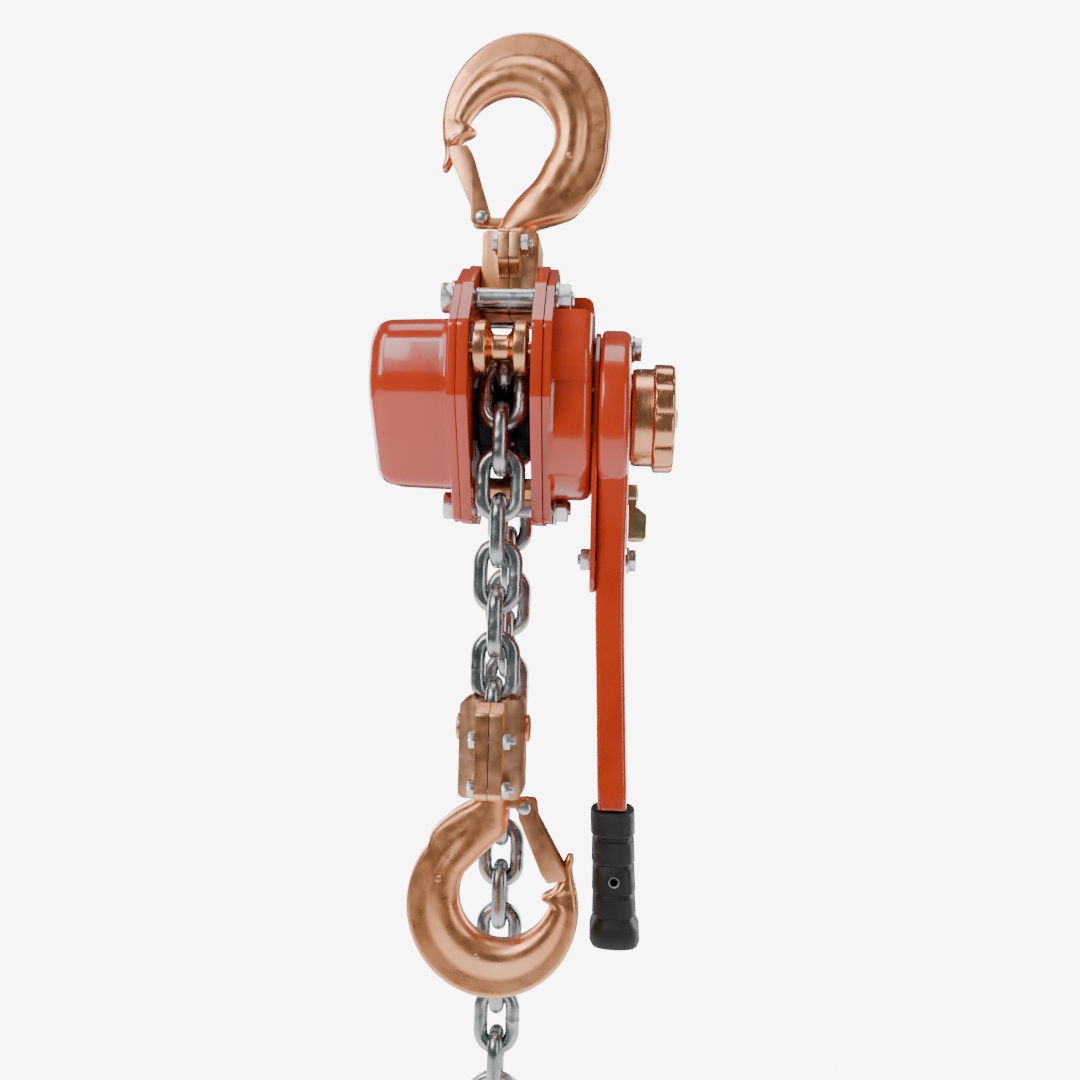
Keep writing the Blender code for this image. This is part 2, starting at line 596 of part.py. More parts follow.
def load_train():
    profile = [(-35.4, 6.9), (-35.4, 9.2), (-20.9, 9.2), (-20.9, 12.6), (-12.4, 12.6), (-12.4, POCKET_RADIUS), (-4.4, POCKET_RADIUS),
               (-4.4, GROOVE_RADIUS), (4.4, GROOVE_RADIUS), (4.4, POCKET_RADIUS), (12.4, POCKET_RADIUS), (12.4, 12.6),
               (19.2, 12.6), (19.2, 6.9)]
    finish(lathe("X", (0, 0), profile, 28), "load_sheave", "steel", (0, 0, 0))
    load = prism("X", gear_outline(LOAD_TEETH, 0.0), -34.6, -22.0)
    finish(cut(load, rod("X", (0, 0), -40, -10, 9.5, 24)), "load_gear", "steel", (-28, 0, 0))
    for name, angle in (("reduction_gear_rear", GEAR_ANGLE), ("reduction_gear_front", math.pi - GEAR_ANGLE)):
        y, z = spoke(angle)
        small = prism("X", shifted(gear_outline(SMALL_TEETH, mesh_phase(angle, LOAD_TEETH, SMALL_TEETH)), y, z), -35.4, -21.8)
        large = prism("X", shifted(gear_outline(LARGE_TEETH, mesh_phase(angle, PINION_TEETH, LARGE_TEETH)), y, z), -44.5, -36.6)
        hub = rod("X", (y, z), -38, -35.1, 6.4, 20)
        journal = rod("X", (y, z), -48.2, -19.6, 4.0, 16)
        finish(combine(large, [small, hub, journal], "UNION", "MANIFOLD"), name, "steel", (-36, y, z))
    teeth = prism("X", gear_outline(PINION_TEETH, 0.0, thin=BACKLASH + 0.1), -46.0, -36.2)
    profile = [(-52.5, 0), (-52.5, 3.4), (-36.0, 3.4), (-35.6, SHAFT_RADIUS), (57.6, SHAFT_RADIUS), (57.6, 0)]
    shaft = lathe("X", (0, 0), profile, 20)
    thread = rod("X", (0, 0), 19.6, 57.0, 6.9, 20)
    finish(join(shaft, teeth, thread), "drive_shaft", "steel", (0, 0, 0))


def mesh_phase(angle, driver, driven):
    """Tooth phase of a driven gear, so that its gap faces a driver's tooth along the line of centres."""
    position = angle / (2 * math.pi / driver)
    slip = (position - math.floor(position)) * (2 * math.pi / driver)
    return angle + math.pi + math.pi / driven + slip * driver / driven


def brake():
    finish(lathe("X", (0, 0), [(19.8, 7.2), (19.8, 19.5), (24.0, 19.5), (24.0, 12), (32.6, 12), (32.6, 7.2)], 32),
           "friction_hub", "steel", (24, 0, 0))
    finish(ring("X", (0, 0), 24.3, 26.2, 12.3, 25.5), "friction_plate_inner", "lining", (25, 0, 0))
    ratchet = []
    for k in range(20):
        base = 2 * math.pi * k / 20
        for r, lag in ((31.0, 0.0), (27.6, 0.03)):
            ratchet.append((r * math.cos(base + lag), r * math.sin(base + lag)))
    disc = cut(prism("X", ratchet, 26.5, 31.0), rod("X", (0, 0), 20, 40, 12.4, 32))
    finish(disc, "ratchet_disc", "steel", (29, 0, 0))
    finish(ring("X", (0, 0), 31.3, 32.6, 12.4, 25.5), "friction_plate_outer", "lining", (32, 0, 0))
    flange = lathe("X", (0, 0), [(33.0, 7.3), (33.0, 25.5), (36.6, 25.5), (36.6, 19), (55.4, 19), (55.4, 7.3)], 32)
    teeth = []
    for k in range(12):
        base = 2 * math.pi * k / 12
        for r, lag in ((19.0, -0.17), (21.4, -0.09), (21.4, 0.09), (19.0, 0.17)):
            teeth.append((r * math.cos(base + lag), r * math.sin(base + lag)))
    cog = cut(prism("X", teeth, 45.6, 54.2), rod("X", (0, 0), 40, 60, 16, 32))
    finish(join(flange, cog), "change_gear", "steel", (45, 0, 0))
    for s, place in ((-1, "front"), (1, "rear")):
        y, z = s * PAWL_SPOT, PAWL_SPOT
        outline = [(s * u + y, v + z) for u, v in rounded([(-3.5, 4.2, 2), (4.2, 3.6, 3), (4.2, -4, 3), (-3.4, -6.6, 0.5), (-6.2, -3.2, 0.5)])]
        pawl = join(prism("X", outline, 26.7, 30.8), rod("X", (y, z), 23.3, 34.0, 2.4, 14))
        finish(pawl, "brake_pawl_" + place, "steel", (28, y, z))


# ---------------------------------------------------------------- lever side


def lever():
    """The forged arm: a round head, then a bar that leans outwards to the grip."""
    head = lathe("X", (0, 0), [(LEVER_X, 0), (LEVER_X, 39.5), (46, 41), (56.5, 41), (58.6, 38.5), (58.6, 0)], 40)
    stations = [(-20, 44.4, 58.4, 30), (-60, 44.4, 58.2, 20), (-92, 44.6, 58.6, 15), (-112, 45.4, 59.2, 14),
                (-172, 47.6, 61.8, 12.5), (-186, 48.4, 62.0, 11.5)]
    rings = []
    for z, low, high, half in stations:
        rings.append([(low + 2, -half, z), (high - 2, -half, z), (high, -half + 2, z), (high, half - 2, z),
                      (high - 2, half, z), (low + 2, half, z), (low, half - 2, z), (low, -half + 2, z)])
    tongue = [(z, low, high, half) for z, low, high, half in ((-180, 51.2, 59.6, 8), (-244, 53.8, 62.2, 8))]
    core = [[(low, -half, z), (high, -half, z), (high, half, z), (low, half, z)] for z, low, high, half in tongue]
    body = join(head, skin(rings), skin(core))
    well = rod("X", (0, 0), 40, 60.5, 24.2, 36)
    nest = block((44.9, 62), (-12.4, 12.4), (-61, -15))
    bolts = [rod("X", (0, z), 40, 62, 3.3, 14) for z in (32.6, -68.5)]
    finish(cut(body, well, nest, *bolts), "lever_arm", "red", (51, 0, 0))
    plate = rounded([(-31, 20, 16), (-31, -20, 10), (-18, -84, 9), (18, -84, 9), (31, -20, 10), (31, 20, 16), (16, 38, 10), (-16, 38, 10)][::-1])
    cover = cut(prism("X", plate, 41.6, 44.0), rod("X", (0, 0), 30, 60, 20.2, 36),
                *[rod("X", (0, z), 30, 60, 3.3, 14) for z in (32.6, -68.5)])
    finish(cover, "lever_cover", "red", (43, 0, 0))
    for place, z in (("upper", 32.6), ("lower", -68.5)):
        out = 59.0
        stem = rod("X", (0, z), 41.6 if place == "upper" else 35.2, out + 1, 2.9, 14, 0.5)
        head = lathe("X", (0, z), [(out, 0), (out, 6.0), (out + 3.4, 6.0), (out + 4.4, 5), (out + 4.4, 0)], 6)
        finish(join(stem, head), "lever_bolt_" + place, "zinc", (50, 0, z))
    finish(lathe("X", (0, -68.5), [(36.6, 3.7), (36.6, 6.0), (41.3, 6.0), (41.3, 3.7)], 6), "lever_nut", "zinc", (39, 0, -68.5))
    grip_rings = []
    for z, grow in ((GRIP_TOP - 13, 1.0), (-190, 0), (-238, 0), (-242, 1.6), (GRIP_END, 1.6)):
        middle = 55.2 + 0.041 * (-z - 182)
        points = []
        for k in range(16):
            angle = 2 * math.pi * (k + 0.5) / 16
            c, s = math.cos(angle), math.sin(angle)
            points.append((middle + (9.6 + grow) * math.copysign(abs(c) ** 0.7, c), (13.4 + grow) * math.copysign(abs(s) ** 0.7, s), z))
        grip_rings.append(points)
    hollow = [[(low, -8.3, z), (high, -8.3, z), (high, 8.3, z), (low, 8.3, z)] for z, low, high in ((-180, 50.9, 59.9), (-244.6, 53.4, 62.6))]
    finish(cut(skin(grip_rings), skin(hollow)), "lever_grip", "rubber", (60, 0, -212))
    pawl = rounded([(-7.6, -25.4, 1), (-3, -28.5, 0), (3, -28.5, 0), (7.6, -25.4, 1), (9, -42, 3), (-9, -42, 3)][::-1])
    thumb = block((58.9, 67.6), (-6.5, 6.5), (-59.6, -43.6))
    neck = rod("X", (0, -37.0), 57.5, 62.6, 5.2, 20, 0.8)
    arm = block((59.0, 62.4), (-5, 5), (-46, -37))
    finish(join(prism("X", pawl, 46.2, 53.8), rod("X", (0, -37.0), 45.3, 58.5, 3.6, 16), neck, arm, thumb),
           "selector_pawl", "yellow_zinc", (55, 0, -37.0))


def hand_wheel():
    lobes = []
    for k in range(9):
        base = 2 * math.pi * k / 9
        for r, lag in ((26.0, -0.22), (26.4, 0.0), (26.0, 0.22), (23.6, 0.30), (23.6, 0.40)):
            lobes.append((r * math.cos(base + lag), r * math.sin(base + lag)))
    body = join(lathe("X", (0, 0), [(59.2, 0), (59.2, 22.0), (61, 23.4), (70, 23.4), (70, 0)], 36), prism("X", lobes, 69.5, 79.4))
    body = cut(body, rod("X", (0, 0), 74.0, 90, 14, 24), rod("X", (0, 0), 50, 90, 7.3, 20), rod("X", (0, 0), 50, 66, 15.5, 24))
    finish(body, "hand_wheel", "copper", (70, 0, 0))
    nut = join(lathe("X", (0, 0), [(74.4, 0), (74.4, 9.4), (79.0, 9.4), (80, 8.4), (80, 0)], 6), rod("X", (0, 0), 58.6, 75, 6.0, 18))
    finish(nut, "shaft_nut", "zinc", (76, 0, 0))


def build():
    clear_scene()
    housing()
    gear_cover()
    brake_cover()
    top_yoke()
    low_yoke()
    top_face, low_face = TOP_YOKE[1], LOW_YOKE[0]
    hook("top_hook", TOP_BOWL_Z, 1, 0.0, top_face, TOP_FORM, (0, 0, SHEAVE_BELOW_ORIGIN))
    hook("bottom_hook", LOW_BOWL_Z, -1, -CHAIN_ARM, low_face, LOW_FORM, (0, -CHAIN_ARM, LOW_BOWL_Z))
    latch("top", TOP_BOWL_Z, 1, 0.0, TOP_FORM)
    latch("bottom", LOW_BOWL_Z, -1, -CHAIN_ARM, LOW_FORM)
    load_train()
    brake()
    lever()
    hand_wheel()
    chain()


build()
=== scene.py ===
import math
from collections import namedtuple

import bmesh
import bpy
from mathutils import Matrix, Vector


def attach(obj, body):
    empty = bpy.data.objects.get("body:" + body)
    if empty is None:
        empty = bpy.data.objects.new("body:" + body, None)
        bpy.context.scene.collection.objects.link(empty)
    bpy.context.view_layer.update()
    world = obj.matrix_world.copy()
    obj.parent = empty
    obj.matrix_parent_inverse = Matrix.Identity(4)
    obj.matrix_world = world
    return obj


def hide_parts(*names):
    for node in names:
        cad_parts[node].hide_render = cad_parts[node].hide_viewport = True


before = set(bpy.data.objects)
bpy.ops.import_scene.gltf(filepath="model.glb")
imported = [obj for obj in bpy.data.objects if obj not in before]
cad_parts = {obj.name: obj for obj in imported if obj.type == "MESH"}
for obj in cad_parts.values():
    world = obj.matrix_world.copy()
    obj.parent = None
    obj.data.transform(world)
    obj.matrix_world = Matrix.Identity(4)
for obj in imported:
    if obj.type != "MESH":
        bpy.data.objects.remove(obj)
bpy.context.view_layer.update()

# All lengths are millimetres measured from the load sheave's axis, except in the room, which is in metres.
SHEAVE_Z = -154.15
AXIS = (0, 0)
WIRE = 7.1
PITCH = 21.0
LINK_WIDTH = 23.0
FRONT_Y = -28.1
FRONT_TOP = -3.45
TAIL_Y = 25.0
TAIL_TOP = 3.0
TAIL_GROUP = 8
RING_RADIUS = 13.2
POCKET_START = 15
PLATE_IN = 14.0
PLATE_OUT = 19.0
STAYS = {"front": (-25.0, 51.0), "rear": (25.0, 51.0), "bottom": (0.0, -44.3)}
STAY_FLATS = 13.0
SUSPENSION = (0, 57)
GUIDE_Y = 40
GUIDE_Z = 26
NAMEPLATE_Z = 6
TOP_YOKE_FACE = 86.0
LOW_YOKE_FACE = -176.6
LOW_YOKE_TOP = -132.5
LOAD_PIN_Z = -146.2
CLAMP_Y = -16.6
CLAMP_RADIUS = 2.0
CLAMP_FLATS = 7.0
CLAMP_HEAD = 2.8
CLAMP_NUT = 3.2
LEVER_BOLTS = {"upper": 32.6, "lower": -68.5}
LEVER_FLATS = 10.4
SELECTOR = (0, -37)
GRIP_RIVET = (57.0, -219)
GRIP_LEAN = 0.041
WHEEL_LOBES = 9
WHEEL_BARREL = 20
MODULE = 1.25
LOAD_TEETH, PINION_TEETH, WHEEL_TEETH, SHAFT_TEETH = 22, 11, 24, 9
GEAR_DISTANCE = 20.625

# A hook's bowl centre, the way it points, its Y, its yoke's face, the oval of its outline (centre and
# half axes), its shank's offset, its turn in its own plane, three (inner, outer) rows that lead from
# the shank into the bowl, and how much fuller it is at the start of the bowl.
Hook = namedtuple("Hook", "prefix bowl way y face oval shank turn rows fuller")
TOP_ROWS = (((-2.6, -37.0), (28.4, -40.0)), ((3.2, -29.4), (33.6, -35.8)), ((11.4, -21.0), (36.8, -32.2)))
LOW_ROWS = (((-1.5, -36.5), (22.2, -39.4)), ((-0.6, -28.6), (28.5, -34.0)), ((7.6, -20.4), (33.4, -28.4)))
TOP = Hook("top", 134.2, 1, 0.0, TOP_YOKE_FACE, (6.2, 4.6, 41.2, 45.4), 1.4, 0.0, TOP_ROWS, 3.6)
LOW = Hook("bottom", -223.0, -1, FRONT_Y, LOW_YOKE_FACE, (5.0, 4.4, 39.8, 42.0), 6.2, math.radians(6),
           LOW_ROWS, 0.0)
BOWL = 20.0
BOWL_START, BOWL_SWEEP, BOWL_STEPS, TIP_STEPS = -38, 222, 52, 18
HOOK_HALF = 8.4
LATCH_PIVOT = (-13.8, -40.2)


def point(x, y, z):
    return Vector((x / 1000, y / 1000, (z + SHEAVE_Z) / 1000))


# ---------------------------------------------------------------- materials


class Nodes:
    """A Principled material with short calls for the procedural nodes that feed it."""

    def __init__(self, name, colour, rough, metal):
        self.material = bpy.data.materials.new(name)
        self.material.use_nodes = True
        self.tree = self.material.node_tree
        self.shader = self.tree.nodes["Principled BSDF"]
        self.feed(self.shader, {"Base Color": (*colour, 1), "Roughness": rough, "Metallic": metal})
        self.coords = self.node("TexCoord", {}).outputs["Object"]

    def feed(self, node, inputs):
        """Sets each named input to a value, or links it to another node's output."""
        for name, value in inputs.items():
            if isinstance(value, bpy.types.NodeSocket):
                self.tree.links.new(value, node.inputs[name])
            else:
                node.inputs[name].default_value = value

    def node(self, kind, inputs):
        made = self.tree.nodes.new("ShaderNode" + kind)
        self.feed(made, inputs)
        return made

    def noise(self, scale, detail, rough=0.55, stretch=None):
        coords = self.coords
        if stretch:
            coords = self.node("Mapping", {"Scale": stretch, "Vector": coords}).outputs["Vector"]
        made = self.node("TexNoise", {"Scale": scale, "Detail": detail, "Roughness": rough, "Vector": coords})
        return made.outputs["Fac"]

    def ramp(self, source, stops):
        made = self.node("ValToRGB", {"Fac": source})
        elements = made.color_ramp.elements
        while len(elements) < len(stops):
            elements.new(0.5)
        for element, (place, colour) in zip(elements, stops):
            element.position = place
            element.color = (*colour, 1)
        return made.outputs["Color"]

    def grey(self, source, low, high, start=0.3, end=0.7):
        sizes = {"From Min": start, "From Max": end, "To Min": low, "To Max": high}
        return self.node("MapRange", {"Value": source, **sizes}).outputs["Result"]

    def worn(self, tone, bare):
        """The tone, with the bare colour on convex edges."""
        pointed = self.node("NewGeometry", {}).outputs["Pointiness"]
        made = self.tree.nodes.new("ShaderNodeMix")
        made.data_type = "RGBA"
        self.feed(made, {"Factor": self.grey(pointed, 0.0, 1.0, 0.52, 0.58)})
        first, second = [socket for socket in made.inputs if socket.type == "RGBA"]
        self.tree.links.new(tone, first)
        second.default_value = (*bare, 1)
        return [socket for socket in made.outputs if socket.type == "RGBA"][0]

    def bump(self, source, strength, depth, before):
        """A bump over the one before it. The depth is in metres."""
        inputs = {"Strength": strength, "Distance": depth, "Height": source}
        if before:
            inputs["Normal"] = before
        return self.node("Bump", inputs).outputs["Normal"]


def finish(name, colour, rough, metal, tone, stops, gloss, shine, bumps, bare=None):
    """A material whose colour, roughness and bumps each follow a noise.

    A noise is (scale, detail, roughness, stretch), a stop without a colour has the material's own,
    shine is the least and most roughness, and each bump is (noise, strength, depth).
    """
    made = Nodes(name, colour, rough, metal)
    shade = made.ramp(made.noise(*tone), [(place, stop or colour) for place, stop in stops])
    if bare:
        shade = made.worn(shade, bare)
    normal = None
    for texture, strength, depth in bumps:
        normal = made.bump(made.noise(*texture), strength, depth, normal)
    roughness = made.grey(made.noise(*gloss), *shine)
    made.feed(made.shader, {"Base Color": shade, "Roughness": roughness, "Normal": normal})
    return made.material


def paint(name, colour, shade, rough):
    """Glossy paint with orange peel under a clear coat."""
    stops = ((0.25, shade), (0.5, None), (0.85, None))
    bumps = (((420, 2), 0.10, 0.00012), ((30, 2), 0.04, 0.0004))
    made = finish(name, colour, rough, 0.0, (18, 3), stops, (60, 4), (rough - 0.03, rough + 0.09), bumps)
    shader = made.node_tree.nodes["Principled BSDF"]
    shader.inputs["Coat Weight"].default_value = 0.55
    shader.inputs["Coat Roughness"].default_value = 0.07
    return made


def machined_steel(name, colour, rough):
    """Steel with fine marks drawn out along X."""
    dark = tuple(c * 0.5 for c in colour)
    light = tuple(min(1, c * 1.4) for c in colour)
    bumps = (((420, 3, 0.55, (9, 1, 1)), 0.2, 0.0001),)
    return finish(name, colour, rough, 1.0, (50, 5), ((0.3, dark), (0.55, None), (0.85, light)),
                  (260, 4, 0.55, (5, 1, 1)), (rough - 0.1, rough + 0.12), bumps)


RED = paint("red_paint", (0.56, 0.036, 0.004), (0.44, 0.024, 0.003), 0.19)
DARK_RED = paint("dark_red_paint", (0.10, 0.007, 0.004), (0.06, 0.004, 0.003), 0.32)
# Copper plating over a blasted forging: fine grain, and brighter on the edges.
COPPER = finish("copper_plate", (0.82, 0.35, 0.16), 0.34, 1.0, (26, 5),
                ((0.3, (0.66, 0.26, 0.11)), (0.55, None), (0.8, (0.92, 0.45, 0.24))), (140, 5), (0.24, 0.44),
                (((1500, 2), 0.32, 0.00012), ((160, 4, 0.5), 0.30, 0.00022)), (0.94, 0.50, 0.29))
TURNED = finish("copper_turned", (0.84, 0.38, 0.19), 0.22, 1.0, (40, 4),
                ((0.3, (0.66, 0.29, 0.16)), (0.6, None), (0.85, (0.90, 0.50, 0.33))),
                (300, 3, 0.55, (6, 1, 1)), (0.16, 0.34), (((500, 2, 0.55, (8, 1, 1)), 0.12, 0.0001),))
ZINC = finish("zinc_plate", (0.66, 0.67, 0.67), 0.26, 1.0, (90, 5),
              ((0.3, (0.46, 0.47, 0.48)), (0.55, None), (0.8, (0.80, 0.80, 0.79))), (240, 4), (0.18, 0.38),
              (((700, 3), 0.18, 0.0001),))
# Bright hardened wire with drawing marks and darker patches.
CHAIN = finish("chain_steel", (0.40, 0.42, 0.43), 0.24, 1.0, (70, 6, 0.65),
               ((0.28, (0.16, 0.165, 0.17)), (0.5, None), (0.78, (0.60, 0.61, 0.61))), (180, 5), (0.15, 0.40),
               (((900, 3), 0.20, 0.0001), ((120, 4), 0.22, 0.0002)))
STEEL = machined_steel("machined_steel", (0.34, 0.34, 0.35), 0.32)
DARK_STEEL = machined_steel("blackened_steel", (0.10, 0.10, 0.105), 0.4)
YELLOW = finish("yellow_zinc", (0.62, 0.50, 0.26), 0.30, 1.0, (60, 5),
                ((0.3, (0.42, 0.34, 0.18)), (0.5, None), (0.75, (0.62, 0.56, 0.36))), (200, 4), (0.22, 0.42),
                (((500, 3), 0.18, 0.0001),))
RUBBER = finish("grip_rubber", (0.008, 0.008, 0.009), 0.5, 0.0, (80, 5),
                ((0.3, (0.004, 0.004, 0.0045)), (0.7, (0.012, 0.012, 0.0125))), (150, 5), (0.44, 0.68),
                (((1400, 2), 0.3, 0.0001), ((220, 4), 0.15, 0.0003)))
BLACK = finish("black_paint", (0.022, 0.022, 0.024), 0.4, 0.0, (60, 4),
               ((0.3, (0.014, 0.014, 0.016)), (0.7, (0.032, 0.032, 0.035))), (180, 4), (0.32, 0.5),
               (((600, 3), 0.15, 0.0001),))
BLACKENED = machined_steel("black_oxide", (0.020, 0.020, 0.022), 0.45)
LINING = finish("brake_lining", (0.20, 0.15, 0.11), 0.85, 0.0, (500, 3),
                ((0.35, (0.10, 0.08, 0.06)), (0.5, (0.22, 0.17, 0.13)), (0.7, (0.34, 0.28, 0.2))),
                (300, 3), (0.75, 0.95), (((900, 3), 0.5, 0.0002),))


# ---------------------------------------------------------------- mesh helpers


def solid(points, faces, where=point):
    """A bmesh from millimetre points, facing out."""
    made = bmesh.new()
    corners = [made.verts.new(where(*p)) for p in points]
    for face in faces:
        made.faces.new([corners[k] for k in face])
    bmesh.ops.recalc_face_normals(made, faces=made.faces)
    return made


def along(axis, a, u, v):
    return {"X": (a, u, v), "Y": (u, a, v), "Z": (u, v, a)}[axis]


def span(side, near, far):
    """The two distances on one side of the middle, lowest first."""
    return sorted((side * near, side * far))


def both_sides(half):
    """An outline's corners, then their mirror images in reverse."""
    return half + [(-u, v, radius) for u, v, radius in reversed(half)]


def both_ends(half, middle=0):
    """A turning profile that is the same at both ends, from its low end."""
    return [(middle - a, *rest) for a, *rest in half] + [(middle + a, *rest) for a, *rest in reversed(half)]


def turned(profile, centre, steps=64, axis="X", scale=None):
    """Turns (distance, radius) pairs. Scale gives a factor on the radius at a distance and an angle."""
    points, rings = [], []
    for a, r in profile:
        if r == 0:
            rings.append([len(points)])
            points.append(along(axis, a, *centre))
            continue
        rings.append(list(range(len(points), len(points) + steps)))
        for k in range(steps):
            angle = 2 * math.pi * k / steps
            size = r * (scale(a, angle) if scale else 1)
            u, v = centre[0] + size * math.cos(angle), centre[1] + size * math.sin(angle)
            points.append(along(axis, a, u, v))
    pairs = list(zip(rings, rings[1:]))
    if profile[0][1] > 0:
        pairs.append((rings[-1], rings[0]))
    faces = []
    for low, high in pairs:
        for k in range(steps):
            after = k + 1
            corners = [low[k % len(low)], low[after % len(low)], high[after % len(high)], high[k % len(high)]]
            corners = list(dict.fromkeys(corners))
            if len(corners) > 2:
                faces.append(corners)
    return solid(points, faces)


def fillet(before, here, after, radius, steps):
    """Points round the arc that replaces one corner."""
    here = Vector(here)
    first, last = (Vector(before) - here), (Vector(after) - here)
    half = first.angle(last) / 2
    reach = min(radius / math.tan(half), first.length * 0.49, last.length * 0.49)
    radius = reach * math.tan(half)
    start = here + first.normalized() * reach
    end = here + last.normalized() * reach
    middle = here + (first.normalized() + last.normalized()).normalized() * (radius / math.sin(half))
    arm = start - middle
    sweep = arm.angle_signed(end - middle)
    points = []
    for step in range(steps + 1):
        turn = -sweep * step / steps
        c, s = math.cos(turn), math.sin(turn)
        points.append((middle.x + arm.x * c - arm.y * s, middle.y + arm.x * s + arm.y * c))
    return points


def rounded(corners, steps=6, closed=True):
    """An outline from (u, v, radius) corners. An open one keeps its two ends sharp."""
    out = []
    count = len(corners)
    for k, (u, v, radius) in enumerate(corners):
        if radius == 0 or (not closed and k in (0, count - 1)):
            out.append((u, v))
        else:
            out += fillet(corners[k - 1][:2], (u, v), corners[(k + 1) % count][:2], radius, steps)
    return out


def eased(corners, steps=4):
    """A turning profile with rounded corners."""
    return rounded(corners, steps, closed=False)


def prism(outline, low, high, axis="X"):
    count = len(outline)
    points = [along(axis, a, u, v) for a in (low, high) for u, v in outline]
    faces = [list(range(count)), list(range(count, 2 * count))]
    for k in range(count):
        after = (k + 1) % count
        faces.append([k, after, count + after, count + k])
    return solid(points, faces)


def block(x, y, z):
    return prism([(y[0], z[0]), (y[1], z[0]), (y[1], z[1]), (y[0], z[1])], *x)


def rod(centre, low, high, radius, steps=40, edge=0.4, axis="X"):
    profile = [(low, 0), (low, radius - edge), (low + edge, radius), (high - edge, radius),
               (high, radius - edge), (high, 0)]
    return turned(profile, centre, steps, axis)


def drill(centre, low, high, radius, steps, axis="X"):
    """A rod with sharp ends, to cut a hole."""
    return rod(centre, low, high, radius, steps, 0.01, axis)


def skin(rings, loop=False, where=point):
    """Joins rings of points with faces, round to the first ring or with a face on each end."""
    size, count = len(rings[0]), len(rings)
    points = [p for ring in rings for p in ring]
    faces = [] if loop else [list(range(size)), list(range(len(points) - size, len(points)))]
    for k in range(count if loop else count - 1):
        low, high = k * size, (k + 1) % count * size
        for j in range(size):
            after = (j + 1) % size
            faces.append([low + j, low + after, high + after, high + j])
    return solid(points, faces, where)


def tube(path, radius, sides=12, closed=False):
    """A round tube through millimetre points, with frames carried along the path."""
    path = [Vector(p) for p in path]
    count = len(path)
    rings = []
    normal = None
    for k, here in enumerate(path):
        before = path[k - 1] if (closed or k) else here
        after = path[(k + 1) % count] if (closed or k < count - 1) else here
        forward = (after - before).normalized()
        if normal is None:
            normal = Vector((0, 0, 1)) if abs(forward.z) < 0.9 else Vector((1, 0, 0))
        normal = (normal - forward * normal.dot(forward)).normalized()
        side = forward.cross(normal)
        rings.append([tuple(here + (normal * math.cos(a) + side * math.sin(a)) * radius)
                      for a in (2 * math.pi * j / sides for j in range(sides))])
    return skin(rings, closed)


def shade(obj, angle):
    """Smooth shading, with edges sharper than the angle left crisp."""
    obj.data.shade_smooth()
    obj.data.set_sharp_from_angle(angle=math.radians(angle))
    return obj


def object_from(made, name, material, smooth=38):
    mesh = bpy.data.meshes.new(name)
    bmesh.ops.remove_doubles(made, verts=made.verts, dist=1e-7)
    made.to_mesh(mesh)
    made.free()
    mesh.materials.append(material)
    obj = bpy.data.objects.new(name, mesh)
    bpy.context.scene.collection.objects.link(obj)
    return shade(obj, smooth)


def settle(obj):
    """Bakes an object's modifiers into its mesh."""
    graph = bpy.context.evaluated_depsgraph_get()
    mesh = bpy.data.meshes.new_from_object(obj.evaluated_get(graph))
    obj.modifiers.clear()
    obj.data = mesh
    return obj


def carve(obj, shapes, operation="DIFFERENCE"):
    for shape in shapes:
        cutter = object_from(shape, "cutter", BLACK)
        change = obj.modifiers.new("cut", "BOOLEAN")
        change.operation = operation
        change.solver = "EXACT"
        change.object = cutter
        settle(obj)
        bpy.data.objects.remove(cutter, do_unlink=True)
    return obj


def soften(obj, width, segments=3, angle=28):
    """Rounds the sharp edges, so that they catch light as real ones do."""
    bevel = obj.modifiers.new("edge", "BEVEL")
    bevel.width = width / 1000
    bevel.segments = segments
    bevel.limit_method = "ANGLE"
    bevel.angle_limit = math.radians(angle)
    return shade(settle(obj), 50)


def fit(obj, body, *nodes, slot=None):
    """Puts a piece on its body, in place of its CAD nodes. Its slot argument is not used."""
    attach(obj, body)
    if nodes:
        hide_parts(*nodes)
    return obj


def add(made, name, material, body, *nodes, smooth=38, slot=None):
    return fit(object_from(made, name, material, smooth), body, *nodes, slot=slot)


def machined(made, name, material, body, cuts, width, *nodes, segments=3, angle=28, slot=None):
    """Adds a piece that shapes are cut from, with its sharp edges rounded."""
    obj = carve(object_from(made, name, material), cuts)
    fit(soften(obj, width, segments, angle), body, *nodes, slot=slot)


# ---------------------------------------------------------------- hooks


def outline_reach(out, oval):
    """Distance from the bowl centre to the outline oval in one direction."""
    u, v, wide, tall = oval
    a = (out.x / wide) ** 2 + (out.y / tall) ** 2
    b = out.x * u / wide**2 + out.y * v / tall**2
    c = (u / wide) ** 2 + (v / tall) ** 2 - 1
    return (b + math.sqrt(b * b - a * c)) / a


def bowl_pair(hook, k):
    """One section round the bowl, thinner and closer in towards the tip, with a rest for the latch."""
    degrees = BOWL_START + BOWL_SWEEP * k / BOWL_STEPS
    angle = math.radians(degrees)
    out = Vector((math.cos(angle), math.sin(angle)))
    fade = max(0.0, (k - BOWL_STEPS + TIP_STEPS) / TIP_STEPS)
    near = BOWL + 3.6 * fade**2 - 4.9 * math.exp(-(((degrees - 175) / 7.0) ** 4))
    fuller = hook.fuller * min(1.0, max(0.0, (-4 - degrees) / 26))
    far = outline_reach(out, hook.oval) - 0.4 * fade**2 + fuller
    share = min(1.0, 0.8 + k * 0.025) * (1 - fade * 0.6)
    return out * near, out * far, HOOK_HALF - 2.6 * fade, share


